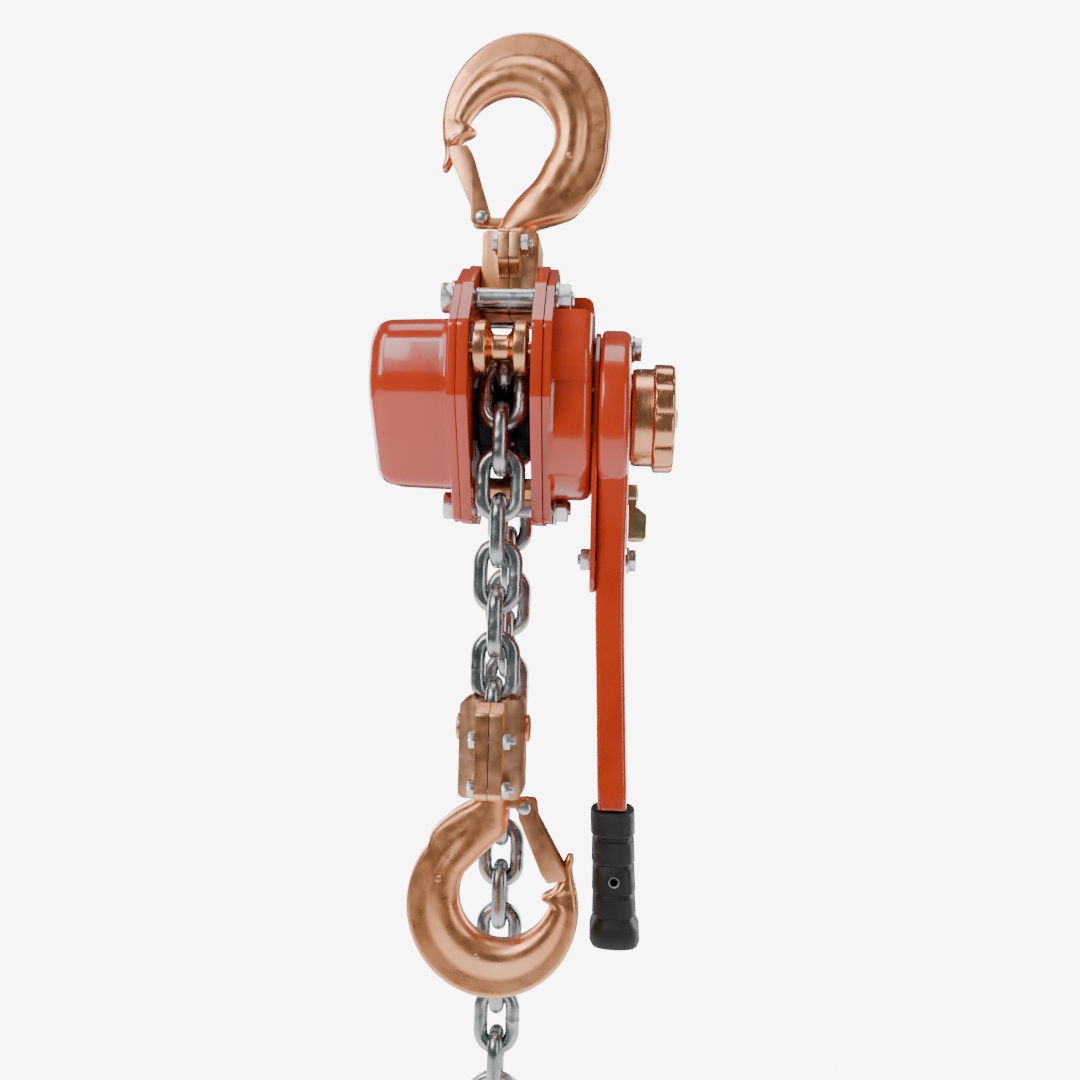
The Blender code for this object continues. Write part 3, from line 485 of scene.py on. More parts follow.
def hook_pairs(hook):
    """Inner point, outer point, half thickness and flange share along the forging."""
    neck, shank = abs(hook.bowl - hook.face) - 1.5, hook.shank
    pairs = [((shank - 8.4, -neck), (shank + 8.4, -neck), HOOK_HALF, 0)]
    pairs.append(((shank - 7.8, 2 - neck), (shank + 9.6, 1.6 - neck), HOOK_HALF, 0))
    thickness = zip(hook.rows, (8.5, 8.5, HOOK_HALF), (0.1, 0.35, 0.7))
    pairs += [(*row, half, share) for row, half, share in thickness]
    bent = [bowl_pair(hook, k) for k in range(BOWL_STEPS + 1)]
    bent += [((-27.2, -6.6), (-33.4, -5.4), 3.5, 0.0), ((-28.2, -11.2), (-33.1, -10.4), 3.4, 0.0)]
    bent += [((-30.2, -15.4), (-34.1, -14.2), 3.2, 0.0), ((-31.4, -17.3), (-33.9, -16.7), 2.0, 0.0)]
    spin = Matrix.Rotation(hook.turn, 2)
    return pairs + [(spin @ Vector(near), spin @ Vector(far), half, share) for near, far, half, share in bent]


def smooth_between(rows, per):
    """Catmull-Rom samples through rows of numbers."""
    out = []
    for k in range(len(rows) - 1):
        p0, p1 = rows[max(0, k - 1)], rows[k]
        p2, p3 = rows[k + 1], rows[min(len(rows) - 1, k + 2)]
        for step in range(per):
            t = step / per
            out.append([0.5 * (2 * b + (c - a) * t + (2 * a - 5 * b + 4 * c - d) * t * t
                               + (3 * b - a - 3 * c + d) * t**3) for a, b, c, d in zip(p0, p1, p2, p3)])
    out.append(list(rows[-1]))
    return out


def section_half(u, half, share):
    """Half thickness across the section: u is 0 inside the bowl and 1 at the rim."""
    oval = half * math.sqrt(max(0.0, 1 - abs(2 * u - 1) ** 2.3))
    bead = half * math.sqrt(max(0.0, 1 - ((u - 0.29) / 0.31) ** 2)) if u < 0.60 else 0.0
    rim = 0.56 * half * max(0.0, 1 - max(0.0, (u - 0.90) / 0.10) ** 2.4) ** 0.5 if u > 0.30 else 0.0
    rim *= min(1.0, max(0.0, (u - 0.2) / 0.35))
    stepped = (bead**5 + rim**5) ** 0.2
    return oval * (1 - share) + stepped * share


def forging(hook):
    """The hook's rings of section points, from the shank to the tip."""
    across = 26
    rings = []
    rows = [[*near, *far, *rest] for near, far, *rest in hook_pairs(hook)]
    for ix, iz, ox, oz, half, share in smooth_between(rows, 3):
        inner, outer = Vector((ix, iz)), Vector((ox, oz))
        ring = []
        for side in (1, -1):
            for j in range(across):
                t = j / across
                u = 0.5 - 0.5 * math.cos(math.pi * (t if side > 0 else 1 - t))
                spot = inner.lerp(outer, u)
                x, z = hook.way * (spot.x - hook.shank), hook.bowl + hook.way * spot.y
                ring.append((x, hook.y + side * section_half(u, half, share), z))
        rings.append(ring)
    return skin(rings)


def on_hook(hook, outline):
    """An outline in the hook's own plane, moved to where the hook is."""
    spin = Matrix.Rotation(hook.turn, 2)
    spots = [spin @ Vector(spot) for spot in outline]
    return [(hook.way * (spot.x - hook.shank), hook.bowl + hook.way * spot.y) for spot in spots]


def hook_body(hook):
    """The forging, the ear that holds the latch, the button inside the yoke and the side pips."""
    body, way, y = hook.prefix + "_hook", hook.way, hook.y
    add(forging(hook), body + "_forging", COPPER, body, body, smooth=60)
    x, z = LATCH_PIVOT
    lug = rounded([(x - 4, z - 4, 3.4), (x - 4, z + 4, 3.4), (x + 2.4, z + 4, 2.2), (x + 4.8, z + 0.6, 0.8),
                   (4, z + 0.6, 0), (4, z - 4, 0)])
    ear = prism(on_hook(hook, lug), y - 3.2, y + 3.2, "Y")
    machined(ear, body + "_lug", COPPER, body, [], 0.8)
    start = hook.bowl - way * (abs(hook.bowl - hook.face) - 2.5)
    low, high = hook.face - way * 10, hook.face - way * 15.6
    stem = [(start, 0), (start, 8.2), (low, 8.0), (low - way * 0.8, 10.6), (low - way * 1.8, 11.0),
            (high, 10.8), (high, 0)]
    add(turned(stem, (0, y), axis="Z"), body + "_button", COPPER, body)
    for angle, u in ((62, 0.34), (-22, 0.50)):
        turn = math.radians(angle)
        r = BOWL + 4 + 12 * u
        spot = on_hook(hook, [(r * math.cos(turn), r * math.sin(turn))])[0]
        for side in (-1, 1):
            pip = [(4.0, 0), (4.0, 1.5), (8.4, 1.5), (8.9, 1.1), (9.05, 0)]
            made = turned([(y + side * a, radius) for a, radius in pip], spot, 20, "Y")
            add(made, f"{body}_pip_{angle}_{side}", COPPER, body)


def latch(hook):
    """Folded sheet latch: two cheeks over the hook's ear and tip, joined by a web."""
    body, way, y = hook.prefix + "_latch", hook.way, hook.y
    x, z = LATCH_PIVOT
    outline = rounded([(x - 5.2, z - 3.0, 2.6), (x + 3.2, z - 3.2, 3.2), (x + 3.2, z + 4.5, 2.5),
                       (-18.9, -9.5, 2), (-21.5, -5.4, 1.5), (-30.4, -6.2, 1.5), (-29.4, -12, 2),
                       (x - 5.4, z + 5, 3)])
    hollow = [(x - 9, z - 7), (x + 6.5, z - 7), (x + 6.5, z + 4.6), (x + 1.6, z + 5.4), (-20.7, -9.3),
              (-22.2, 2), (-38, 2), (-38, -14)]
    cuts = [prism(on_hook(hook, hollow), y - 3.8, y + 3.8, "Y")]
    sheet = prism(on_hook(hook, outline), y - 5.3, y + 5.3, "Y")
    machined(sheet, body + "_sheet", COPPER, body, cuts, 0.35, body, segments=2)
    px, pz = on_hook(hook, [(x, z)])[0]
    rivet = both_ends([(7.0, 0), (7.0, 2.0), (6.5, 2.7), (5.8, 2.8), (5.6, 1.55)], y)
    add(turned(rivet, (px, pz), 32, "Y"), body + "_rivet", ZINC, hook.prefix + "_hook", body + "_pin")
    wire = []
    for k in range(73):
        angle = 2 * math.pi * k / 24 + math.radians(100)
        u, v = way * 2.5 * math.cos(angle), way * 2.5 * math.sin(angle)
        wire.append((px + u, y - 3.4 + 6.8 * k / 72, pz + v))
    wire += [(px + way * (-2.4 - t * 4.0), y + 3.45, pz + way * (1 + t * 13.5)) for t in (0.1, 0.4, 0.7, 1.0)]
    add(tube(wire, 0.42, 8), body + "_spring", STEEL, body)


# ---------------------------------------------------------------- chain


def link_spine():
    """Points round a link's middle line: two half circles and two straights."""
    bow = (LINK_WIDTH - WIRE) / 2
    reach = (PITCH + WIRE) / 2 - bow
    spine = []
    for end in (1, -1):
        arc = [math.pi * (k / 16 - 0.5) for k in range(17)]
        spine += [(end * bow * math.sin(angle), end * (reach + bow * math.cos(angle))) for angle in arc]
        u, v = spine[-1]
        spine += [(u, v + (-v - v) * step / 12) for step in range(1, 12)]
    return spine


def link_mesh():
    """One welded link lying in XZ, with its weld bead on one straight side."""
    spine, sides = link_spine(), 20
    rings = []
    for k, (u, v) in enumerate(spine):
        forward = (Vector(spine[(k + 1) % len(spine)]) - Vector(spine[k - 1])).normalized()
        out = Vector((forward.y, -forward.x))
        r = WIRE / 2 * (1 + 0.075 * math.exp(-((v / 1.3) ** 2)) if u > 0 else 1)
        flat = 1 - 0.02 * math.exp(-((v / 4) ** 2))
        ring = []
        for j in range(sides):
            angle = 2 * math.pi * j / sides
            aside = out * (r * math.cos(angle) * flat)
            ring.append((u + aside.x, r * math.sin(angle), v + aside.y))
        rings.append(ring)
    made = skin(rings, True, lambda x, y, z: Vector((x / 1000, y / 1000, z / 1000)))
    mesh = bpy.data.meshes.new("chain_link")
    made.to_mesh(mesh)
    made.free()
    mesh.materials.append(CHAIN)
    mesh.shade_smooth()
    return mesh


def put_link(mesh, name, spot, pull, across, body, *nodes):
    """Pull runs along the chain, across runs over the link's width."""
    up, wide = Vector(pull).normalized(), Vector(across).normalized()
    matrix = Matrix((wide, up.cross(wide), up)).transposed().to_4x4()
    matrix.translation = point(*spot)
    obj = bpy.data.objects.new(name, mesh)
    bpy.context.scene.collection.objects.link(obj)
    obj.matrix_world = matrix
    bpy.context.view_layer.update()
    fit(obj, body, *nodes)


def strand(mesh, y, top, parity, body, node, groups):
    """A hanging strand, as one rigid group of links for each of its bodies."""
    index = 0
    for part, count in groups.items():
        for k in range(count):
            flip = 1 if (index // 2) % 2 else -1
            across = (flip, 0, 0) if index % 2 == parity else (0, flip, 0)
            nodes = [f"{node}_chain_{part}"] if k == 0 else []
            spot = (0, y, top - PITCH * (index + 0.5))
            put_link(mesh, f"{body}_{part}_link_{index}", spot, (0, 0, 1), across, f"{body}_{part}", *nodes)
            index += 1


def chain():
    """Four links over the sheave, the front and rear strands, and the end ring."""
    mesh = link_mesh()
    radius = PITCH / (2 * math.tan(math.pi / 8))
    for k in range(4):
        angle = math.radians(POCKET_START + 45 * k)
        spot = (0, -radius * math.cos(angle), radius * math.sin(angle))
        across = (1, 0, 0) if k % 2 == 0 else spot
        nodes = ["chain_wrap"] if k == 0 else []
        put_link(mesh, f"wrap_link_{k}", spot, (0, math.sin(angle), math.cos(angle)), across, "housing", *nodes)
    strand(mesh, FRONT_Y, FRONT_TOP, 1, "chain", "front", {"upper": 3, "middle": 2, "lower": 2})
    strand(mesh, TAIL_Y, TAIL_TOP, 0, "tail", "tail", {"upper": TAIL_GROUP, "lower": TAIL_GROUP})
    base = TAIL_TOP - PITCH * 2 * TAIL_GROUP - 10.1
    turns = [2 * math.pi * k / 64 for k in range(64)]
    loop = [(RING_RADIUS * math.cos(a), TAIL_Y, base + RING_RADIUS * math.sin(a)) for a in turns]
    add(tube(loop, 2.55, 16, True), "tail_ring", ZINC, "end_ring", "chain_end_ring")


# ---------------------------------------------------------------- fasteners


def hexagon(name, body, centre, low, high, across, *nodes, ends=(True, True), edge=0.12):
    """A zinc hexagon along X, with its corners turned down at the chosen ends."""
    corner = across / math.sqrt(3)
    turns = [k * math.pi / 3 for k in range(6)]
    outline = [(centre[0] + corner * math.cos(turn), centre[1] + corner * math.sin(turn)) for turn in turns]
    flat, wide = across * 0.485, corner + 0.1
    drop = (corner - flat) * 0.62
    start = [(low - 0.1, flat), (low + drop, wide)] if ends[0] else [(low - 0.1, wide)]
    end = [(high - drop, wide), (high + 0.1, flat)] if ends[1] else [(high + 0.1, wide)]
    limit = turned([(low - 0.1, 0), *start, *end, (high + 0.1, 0)], centre, 48)
    obj = carve(object_from(prism(outline, low, high), name, ZINC), [limit], "INTERSECT")
    fit(soften(obj, edge, 2), body, *nodes)


def thread(name, body, centre, low, high, radius, pitch, material):
    """A helical thread along X with a pointed end, as one solid."""
    depth = 0.55 * pitch / radius
    count = int((high - low) / (pitch / 5))
    profile = [(low, 0)] + [(low + (high - low) * k / count, radius) for k in range(count + 1)] + [(high, 0)]

    def height(a, angle):
        phase = (a / pitch - angle / (2 * math.pi)) % 1
        fade = min(1.0, abs(high - a) / (0.7 * pitch), abs(a - low) / (0.7 * pitch))
        return (1 - depth * abs(2 * phase - 1)) * (0.86 + 0.14 * fade)

    add(turned(profile, centre, 40, scale=height), name, material, body)


def washer(centre, low, high, inner, outer):
    ring = [(low, inner, 0), (low, outer, 0.3), (high, outer, 0.3), (high, inner, 0)]
    return turned(eased(ring, 2), centre, 48)


# ---------------------------------------------------------------- housing


def plate_outline(grow=0.0):
    right = [(17 + grow, -53 - grow, 6), (50 + grow, 4, 9), (50 + grow, 36, 7), (34 + grow, 57 + grow, 6),
             (9 + grow, 70 + grow, 3)]
    return rounded(both_sides(right), 8)


def stay_holes():
    return [drill(spot, -30, 30, 4.35, 32) for spot in STAYS.values()]


def side_plates():
    for side, name in ((-1, "gear"), (1, "brake")):
        plate = prism(plate_outline(), *span(side, PLATE_IN, PLATE_OUT))
        holes = stay_holes() + [drill(SUSPENSION, -30, 30, 5.3, 36), drill(AXIS, -30, 30, 17.3, 64)]
        holes += [drill((s * GUIDE_Y, GUIDE_Z), -30, 30, 3.3, 28) for s in (-1, 1)]
        machined(plate, f"side_plate_{name}_fine", RED, "housing", holes, 0.95, "side_plate_" + name)
        bearing(side, name)


def bearing(side, name):
    """A ball race between the plate and the sheave: two rings, balls and a cage."""
    low, high = span(side, 14.1, 18.9)
    middle = side * 16.5
    outer, inner = washer(AXIS, low, high, 15.7, 17.0), washer(AXIS, low, high, 12.9, 14.1)
    add(outer, f"bearing_{name}_race_0", STEEL, "housing", "sheave_bearing_" + name)
    add(inner, f"bearing_{name}_race_1", STEEL, "housing")
    cage = washer(AXIS, middle - 1.6, middle + 1.6, 14.6, 15.3)
    add(cage, f"bearing_{name}_cage", YELLOW, "housing", slot="steel")
    balls = bmesh.new()
    for k in range(14):
        turn = 2 * math.pi * k / 14
        spot = Matrix.Translation(point(middle, 14.9 * math.cos(turn), 14.9 * math.sin(turn)))
        bmesh.ops.create_uvsphere(balls, u_segments=14, v_segments=9, radius=0.00135, matrix=spot)
    add(balls, f"bearing_{name}_balls", CHAIN, "housing")


def stays():
    """Three bolts with spacers between the plates, and the top yoke's suspension pin."""
    spacer = eased(both_ends([(13.7, 4.0, 0), (13.7, 5.2, 0.35), (12.4, 5.2, 0.2), (12.0, 4.95, 0.2)]), 3)
    for place, spot in STAYS.items():
        add(turned(spacer, spot, 56), f"stay_spacer_{place}", ZINC, "housing", f"stay_bolt_{place}")
        add(rod(spot, -25.6, 25.2, 3.85, 32), f"stay_shank_{place}", ZINC, "housing")
        thread(f"stay_thread_{place}", "housing", spot, 24.6, 31.4, 3.85, 1.1, ZINC)
        hexagon(f"stay_head_{place}", "housing", spot, -29.8, -24.9, STAY_FLATS, ends=(True, False), edge=0.18)
        hexagon(f"stay_hex_{place}", "housing", spot, 24.4, 30.0, STAY_FLATS, f"stay_nut_{place}", edge=0.18)
        for k, side in enumerate((-1, 1)):
            made = washer(spot, *span(side, 23.3, 24.6), 4.1, 8.2)
            add(made, f"stay_washer_{place}_{k}", ZINC, "housing")
    pin = eased(both_ends([(18.8, 0, 0), (18.8, 4.9, 0.6)]), 3)
    add(turned(pin, SUSPENSION, 48), "suspension_pin_fine", STEEL, "top_yoke", "suspension_pin")


def guides():
    """The two guide rollers and the chain stripper under the sheave."""
    half = [(18.6, 0, 0), (18.6, 2.9, 0.5), (11.9, 2.9, 0.2), (11.9, 12.3, 1.1), (6.4, 12.3, 1.3),
            (5.2, 9.4, 1.0), (3.6, 5.9, 2.0)]
    for s, place in ((-1, "front"), (1, "rear")):
        body, spot = "guide_" + place, (s * GUIDE_Y, GUIDE_Z)
        roller = turned(eased(both_ends(half), 5), spot, 72)
        add(roller, body + "_spool", TURNED, body, "guide_roller_" + place)
        for k, side in enumerate((-1, 1)):
            low, high = span(side, 11.7, 12.35)
            boss = turned([(low, 3.0), (low, 5.4), (high, 5.0), (high, 3.0)], spot, 40)
            add(boss, f"{body}_boss_{k}", TURNED, body)
    bar = rounded([(-14, -36, 1.5), (-9, -29.4, 2), (-4, -36.6, 2), (4, -36.6, 2), (9, -29.4, 2),
                   (14, -36, 1.5), (11, -41.5, 2), (6.2, -38.6, 1), (-6.2, -38.6, 1), (-11, -41.5, 2)])
    machined(prism(bar, -13.7, 13.7), "chain_stripper_fine", COPPER, "housing", [], 0.5, "chain_stripper")


def shield(inset):
    """The gear cover's outline."""
    i = inset
    return rounded(both_sides([(17 - i, -36.2 + i, 9), (43.5 - i, 8, 20), (40 - i, 41 - i, 15 - i * 0.5)]), 10)


def crown(inset):
    """The brake cover's outline."""
    i = inset
    top = [(-43 + i, 24, 10), (-28 + i * 0.7, 54 - i, 9 - i * 0.4)]
    return rounded((both_sides(top) + [(30 - i, -16, 8), (-30 + i, -16, 8)])[::-1], 8)


def loft(shape, levels):
    """A solid through one outline at (x, inset) levels."""
    return skin([[(x, u, v) for u, v in shape(inset)] for x, inset in levels])


def quarter(x, inset, depth, width, steps):
    """Levels that round an edge by a quarter of an oval."""
    turns = [math.pi / 2 * k / steps for k in range(steps + 1)]
    return [(x + depth * math.sin(turn), inset + width * (1 - math.cos(turn))) for turn in turns]


def square(half, radius):
    """A rounded square round the nameplate's middle."""
    signs = ((1, -1), (-1, -1), (-1, 1), (1, 1))
    return rounded([(half * u, NAMEPLATE_Z + half * v, radius) for u, v in signs])


def gear_cover():
    levels = [(-22.0, -1.6), (-23.4, -1.4), (-24.2, -0.7), (-25.6, -0.15), (-28, 0.0), (-40, 0.25)]
    shell = loft(shield, levels + quarter(-51.0, 0.6, -10.5, 9.2, 10))
    shell = object_from(shell, "gear_cover_shell", RED, 50)
    hollow = loft(shield, [(-18, 2.8), (-48, 3.2), (-54, 6.0), (-56.2, 10.5)])
    carve(shell, [hollow, prism(square(14.4, 2), -63, -60.6)])
    fit(shade(shell, 40), "housing", "gear_cover")
    cuts = [loft(shield, [(-18, 2.6), (-26, 2.6)])] + stay_holes()
    machined(prism(plate_outline(-1.0), -23.2, -19.3), "gear_cover_flange", RED, "housing", cuts, 0.9)
    plate, sunk = prism(square(13.9, 2), -61.35, -60.7), prism(square(12.3, 1.4), -62, -61.1)
    machined(plate, "nameplate_fine", BLACK, "housing", [sunk], 0.1, "nameplate", segments=2,
             slot="black_plate")
    dome = [(-60.8, 0), (-60.8, 1.3), (-61.3, 1.15), (-61.6, 0.7), (-61.7, 0)]
    for k, (y, z) in enumerate(((-11.2, 11.2), (11.2, 11.2), (-11.2, -11.2), (11.2, -11.2))):
        made = turned(dome, (y, NAMEPLATE_Z + z), 20)
        add(made, f"nameplate_rivet_{k}", ZINC, "housing", slot="black_plate")


def brake_bore():
    return drill(AXIS, 10, 60, 37.6, 90)


def brake_hollow():
    return prism(rounded(both_sides([(38, 12, 2), (38, 24, 5), (32, 37.5, 4)])), 17, 34.5)


def bolt_wells():
    return [drill(spot, 23.4, 50, 9.2, 40) for spot in STAYS.values()]


def brake_cover():
    drum = eased([(22.0, 37.4, 0), (22.0, 42.6, 0), (24.6, 41, 3.0), (41, 41, 5.5), (41, 24.3, 1.4),
                  (38.6, 24.3, 0.4), (38.6, 37.4, 2.0)], 7)
    shell = object_from(turned(drum, AXIS, 120), "brake_cover_drum", RED, 50)
    hood = loft(crown, [(20.6, 0), (30, 0)] + quarter(36.0, 0, 4.4, 4.4, 8))
    hood = object_from(hood, "brake_cover_hood", RED, 50)
    carve(hood, [brake_bore(), brake_hollow()] + bolt_wells())
    carve(shell, [brake_hollow()] + bolt_wells())
    fit(shade(shell, 40), "housing", "brake_cover")
    fit(shade(hood, 40), "housing")
    cuts = [brake_bore(), brake_hollow()] + stay_holes()
    machined(prism(plate_outline(-1.0), 19.3, 22.9), "brake_cover_flange", RED, "housing", cuts, 0.9)


# ---------------------------------------------------------------- yokes


def yoke_half(name, body, outline, side, reach, cuts):
    """One clamp half: its outer edges are rounded before the seam and the holes are cut."""
    half = soften(object_from(prism(outline, -reach, reach), name + "_fine", COPPER), 3.0, 6)
    seam = 0.2
    carve(half, [block(sorted((side * seam, -side * 60)), (-90, 60), (-220, 120))] + cuts)
    fit(soften(half, 0.55, 3, 40), body, name)


def clamp_bolt(name, spot, reach, body, node):
    """The small bolt that clamps a yoke's two flanges."""
    end = reach + CLAMP_NUT
    add(rod(spot, -reach - 1, end, CLAMP_RADIUS, 28), name + "_shank", ZINC, body, node)
    thread(name + "_thread", body, spot, end - 0.6, end + 2.4, CLAMP_RADIUS, 0.8, ZINC)
    hexagon(name + "_head", body, spot, -reach - CLAMP_HEAD, -reach - 0.1, CLAMP_FLATS, ends=(True, False))
    hexagon(name + "_nut", body, spot, reach + 0.1, end, CLAMP_FLATS)


def clamp_hole(y, z):
    return drill((y + CLAMP_Y, z), -20, 20, 2.3, 24)


def top_yoke():
    outline = rounded(both_sides([(-13, 46.5, 4), (-14, 64, 4), (-21, 70, 4), (-21, TOP_YOKE_FACE, 4)]), 8)
    for side, name in ((-1, "top_yoke_left"), (1, "top_yoke_right")):
        bore = turned([(68, 0), (68, 11.5), (76.4, 11.5), (76.4, 8.9), (88, 8.9), (88, 0)], AXIS, 56, "Z")
        ledge = block(span(side, 5.0, 20), (-30, -12.3), (40, 95))
        cuts = [bore, drill(SUSPENSION, -20, 20, 5.3, 40), clamp_hole(0, 79), ledge]
        yoke_half(name, "top_yoke", outline, side, 13.4, cuts)
    clamp_bolt("top_clamp", (CLAMP_Y, 79), 5.3, "top_yoke", "top_yoke_bolt")


def bottom_yoke():
    y, low, high = FRONT_Y, LOW_YOKE_FACE, LOW_YOKE_TOP
    clamps = {"upper": high - 17, "lower": low + 5.5}
    outline = rounded([(y + 17, low, 4), (y + 17, high - 9, 4), (y + 13, high, 5), (y - 14, high, 3),
                       (y - 20, high - 5, 3), (y - 20, low, 4)], 8)
    for side, name in ((-1, "bottom_yoke_left"), (1, "bottom_yoke_right")):
        bore = turned([(low - 2, 0), (low - 2, 8.9), (low + 9.6, 8.9), (low + 9.6, 11.5), (low + 16.2, 11.5),
                       (low + 16.2, 0)], (0, y), 56, "Z")
        cuts = [bore, block((-4.2, 4.2), (y - 14.6, y + 14.6), (-158.4, high + 10)),
                block((-12.1, 12.1), (y - 6.6, y + 6.6), (-137.8, high + 10)),
                drill((y, LOAD_PIN_Z), -20, 20, 4.7, 40)]
        cuts += [clamp_hole(y, z) for z in clamps.values()]
        cuts.append(block(span(side, 6.0, 20), (y - 30, y - 12.3), (low - 5, high + 5)))
        yoke_half(name, "bottom_yoke", outline, side, 14.3, cuts)
    for place, z in clamps.items():
        clamp_bolt("bottom_clamp_" + place, (y + CLAMP_Y, z), 6.3, "bottom_yoke", "bottom_yoke_bolt_" + place)
    pin = both_ends([(17.0, 0, 0), (17.0, 4.4, 0.5), (16.5, 6.3, 0.9), (14.7, 6.3, 0.2), (14.7, 3.9, 0)])
    add(turned(eased(pin), (y, LOAD_PIN_Z), 56), "load_pin_fine", COPPER, "bottom_yoke", "load_pin")


# ---------------------------------------------------------------- lever side


def bar_ring(z, low, high, half, radius):
    """A rounded rectangle across the lever at one height."""
    corners = [(low, -half, radius), (high, -half, radius), (high, half, radius), (low, half, radius)]
    return [(x, y, z) for x, y in rounded(corners, 5)]


def lever_bar():
    """The tapering arm, with a groove pressed along its two broad faces."""
    rows = [[-14, 44.4, 58.6, 31.5], [-30, 44.4, 58.6, 27.0], [-46, 44.4, 58.4, 22.6],
            [-62, 44.4, 58.2, 19.4], [-78, 44.45, 58.2, 17.0], [-94, 44.7, 58.6, 15.2],
            [-112, 45.4, 59.2, 14.0], [-135, 46.3, 60.2, 13.3], [-160, 47.2, 61.2, 12.7],
            [-176, 47.8, 61.9, 12.4], [-186, 48.3, 62.0, 11.6]]
    arm = object_from(skin([bar_ring(*row, 3.0) for row in smooth_between(rows, 4)]), "lever_bar", RED, 50)
    inner = [bar_ring(z, low - 3, low + 1.3, half - 5.2, 1.2) for z, low, high, half in rows[4:-1]]
    outer = [bar_ring(z, high - 1.3, high + 3, half - 5.2, 1.2) for z, low, high, half in rows[5:-1]]
    carve(arm, [drill(AXIS, 40, 55.8, 24.4, 90), block((44.9, 62), (-12.4, 12.4), (-61, -8)),
                drill((0, LEVER_BOLTS["lower"]), 40, 70, 3.3, 24), skin(inner), skin(outer)])
    fit(soften(arm, 0.5, 3, 40), "lever")


def lever():
    """Head, arm, selector web, the tongue inside the grip and the back plate."""
    head = eased([(44.4, 24.4, 0), (44.4, 41, 2.4), (58.6, 41, 4.6), (58.6, 9.0, 0), (55.8, 9.0, 0),
                  (55.8, 24.4, 0)], 7)
    rim = object_from(turned(head, AXIS, 128), "lever_head", RED, 45)
    nest = block((44.0, 57.0), (-12.4, 12.4), (-61, -15))
    carve(rim, [nest, drill((0, LEVER_BOLTS["upper"]), 40, 62, 3.3, 24)])
    fit(rim, "lever", "lever_arm")
    lever_bar()
    web = block((56.6, 58.7), (-14.5, 14.5), (-63, -12))
    machined(web, "lever_web", RED, "lever", [drill(SELECTOR, 50, 70, 5.4, 40)], 0.5)
    tongue = [bar_ring(z, low, high, 8, 0.8) for z, low, high in ((-182, 51.3, 59.6), (-244, 53.8, 62.2))]
    add(skin(tongue), "lever_tongue", BLACK, "lever")
    back = rounded([(-16, 38, 10), (16, 38, 10), (31, 20, 16), (31, -20, 10), (18, -84, 9), (-18, -84, 9),
                    (-31, -20, 10), (-31, 20, 16)], 10)
    cuts = [drill(AXIS, 30, 60, 20.2, 90)] + [drill((0, z), 30, 60, 3.3, 24) for z in LEVER_BOLTS.values()]
    machined(prism(back, 41.6, 44.1), "lever_back_plate", RED, "lever", cuts, 0.6, "lever_cover")
    collars()
    lever_bolts()


def collars():
    """Dark dust collar behind the hand wheel and the black seal behind the lever's head."""
    ring = eased([(57.6, 9.0, 0), (57.6, 20.9, 0), (61.0, 20.7, 0.5), (61.0, 9.0, 0)])
    add(turned(ring, AXIS, 96), "lever_collar", DARK_RED, "lever")
    seal = eased([(41.45, 20.6, 0), (41.45, 29.0, 0.4), (44.6, 29.4, 0.4), (44.6, 20.6, 0)], 3)
    add(turned(seal, AXIS, 96), "lever_seal", BLACK, "lever")


def lever_bolts():
    for (place, z), start in zip(LEVER_BOLTS.items(), (42.0, 36.2)):
        name = "lever_bolt_" + place
        add(rod((0, z), start + 2, 59.4, 2.9, 32), name + "_shank", ZINC, "lever", name)
        thread(name + "_thread", "lever", (0, z), start - 1, start + 6, 2.85, 0.9, ZINC)
        hexagon(name + "_head", "lever", (0, z), 59.8, 63.3, LEVER_FLATS, ends=(False, True), edge=0.15)
        add(washer((0, z), 58.7, 59.9, 3.0, 6.4), name + "_washer", ZINC, "lever")
    spot = (0, LEVER_BOLTS["lower"])
    hexagon("lever_nut_fine", "lever", spot, 36.7, 41.2, LEVER_FLATS, "lever_nut", edge=0.15)


def grip_ring(z, grow):
    """A squarish ring round the leaning grip at one height."""
    middle = 55.2 + GRIP_LEAN * (-z - 182)
    out = []
    for k in range(64):
        angle = 2 * math.pi * (k + 0.5) / 64
        c, s = math.cos(angle), math.sin(angle)
        out.append((middle + (9.6 + grow) * math.copysign(abs(c) ** 0.62, c),
                    (13.4 + grow) * math.copysign(abs(s) ** 0.62, s), z))
    return out


def grip():
    """Black moulded grip: stepped ribs, a flared foot and a hollow rivet."""
    levels = [(-187.0, -1.0), (-187.3, 0.3), (-188.2, 1.0), (-197.6, 1.0), (-198.6, 0.2), (-199.2, -0.5),
              (-200.4, -0.4), (-201.2, 0.5), (-210.6, 0.8), (-211.4, 0.1), (-212.2, -0.4), (-213.2, 0.1),
              (-213.8, 0.5), (-224.4, 0.9), (-225.0, 0.2), (-225.8, -0.3), (-226.8, 0.1), (-227.4, 0.6),
              (-235.4, 1.0), (-236.2, 0.3), (-237.0, -0.2), (-238.2, 0.4), (-240.2, 1.5), (-242.2, 2.3),
              (-248.4, 2.4), (-250.2, 1.6), (-251.0, -0.4)]
    body = skin([grip_ring(z, grow) for z, grow in reversed(levels)])
    body = object_from(body, "grip_moulding", RUBBER, 34)
    socket = [bar_ring(z, low, high, 8.2, 0.9) for z, low, high in ((-180, 51.0, 59.9), (-244.6, 53.4, 62.6))]
    recesses = [drill(GRIP_RIVET, low, high, 3.0, 40, "Y") for low, high in ((-20, -9), (9, 20))]
    carve(body, [skin(socket)] + recesses)
    fit(shade(body, 36), "lever", "lever_grip")
    for k, side in enumerate((-1, 1)):
        ring = [(10.5, 1.7), (13.9, 1.7), (14.5, 2.1), (14.5, 2.6), (13.8, 3.0), (10.5, 3.0)]
        made = turned([(side * a, r) for a, r in ring], GRIP_RIVET, 40, "Y")
        add(made, f"grip_rivet_{k}", ZINC, "lever", slot="rubber")


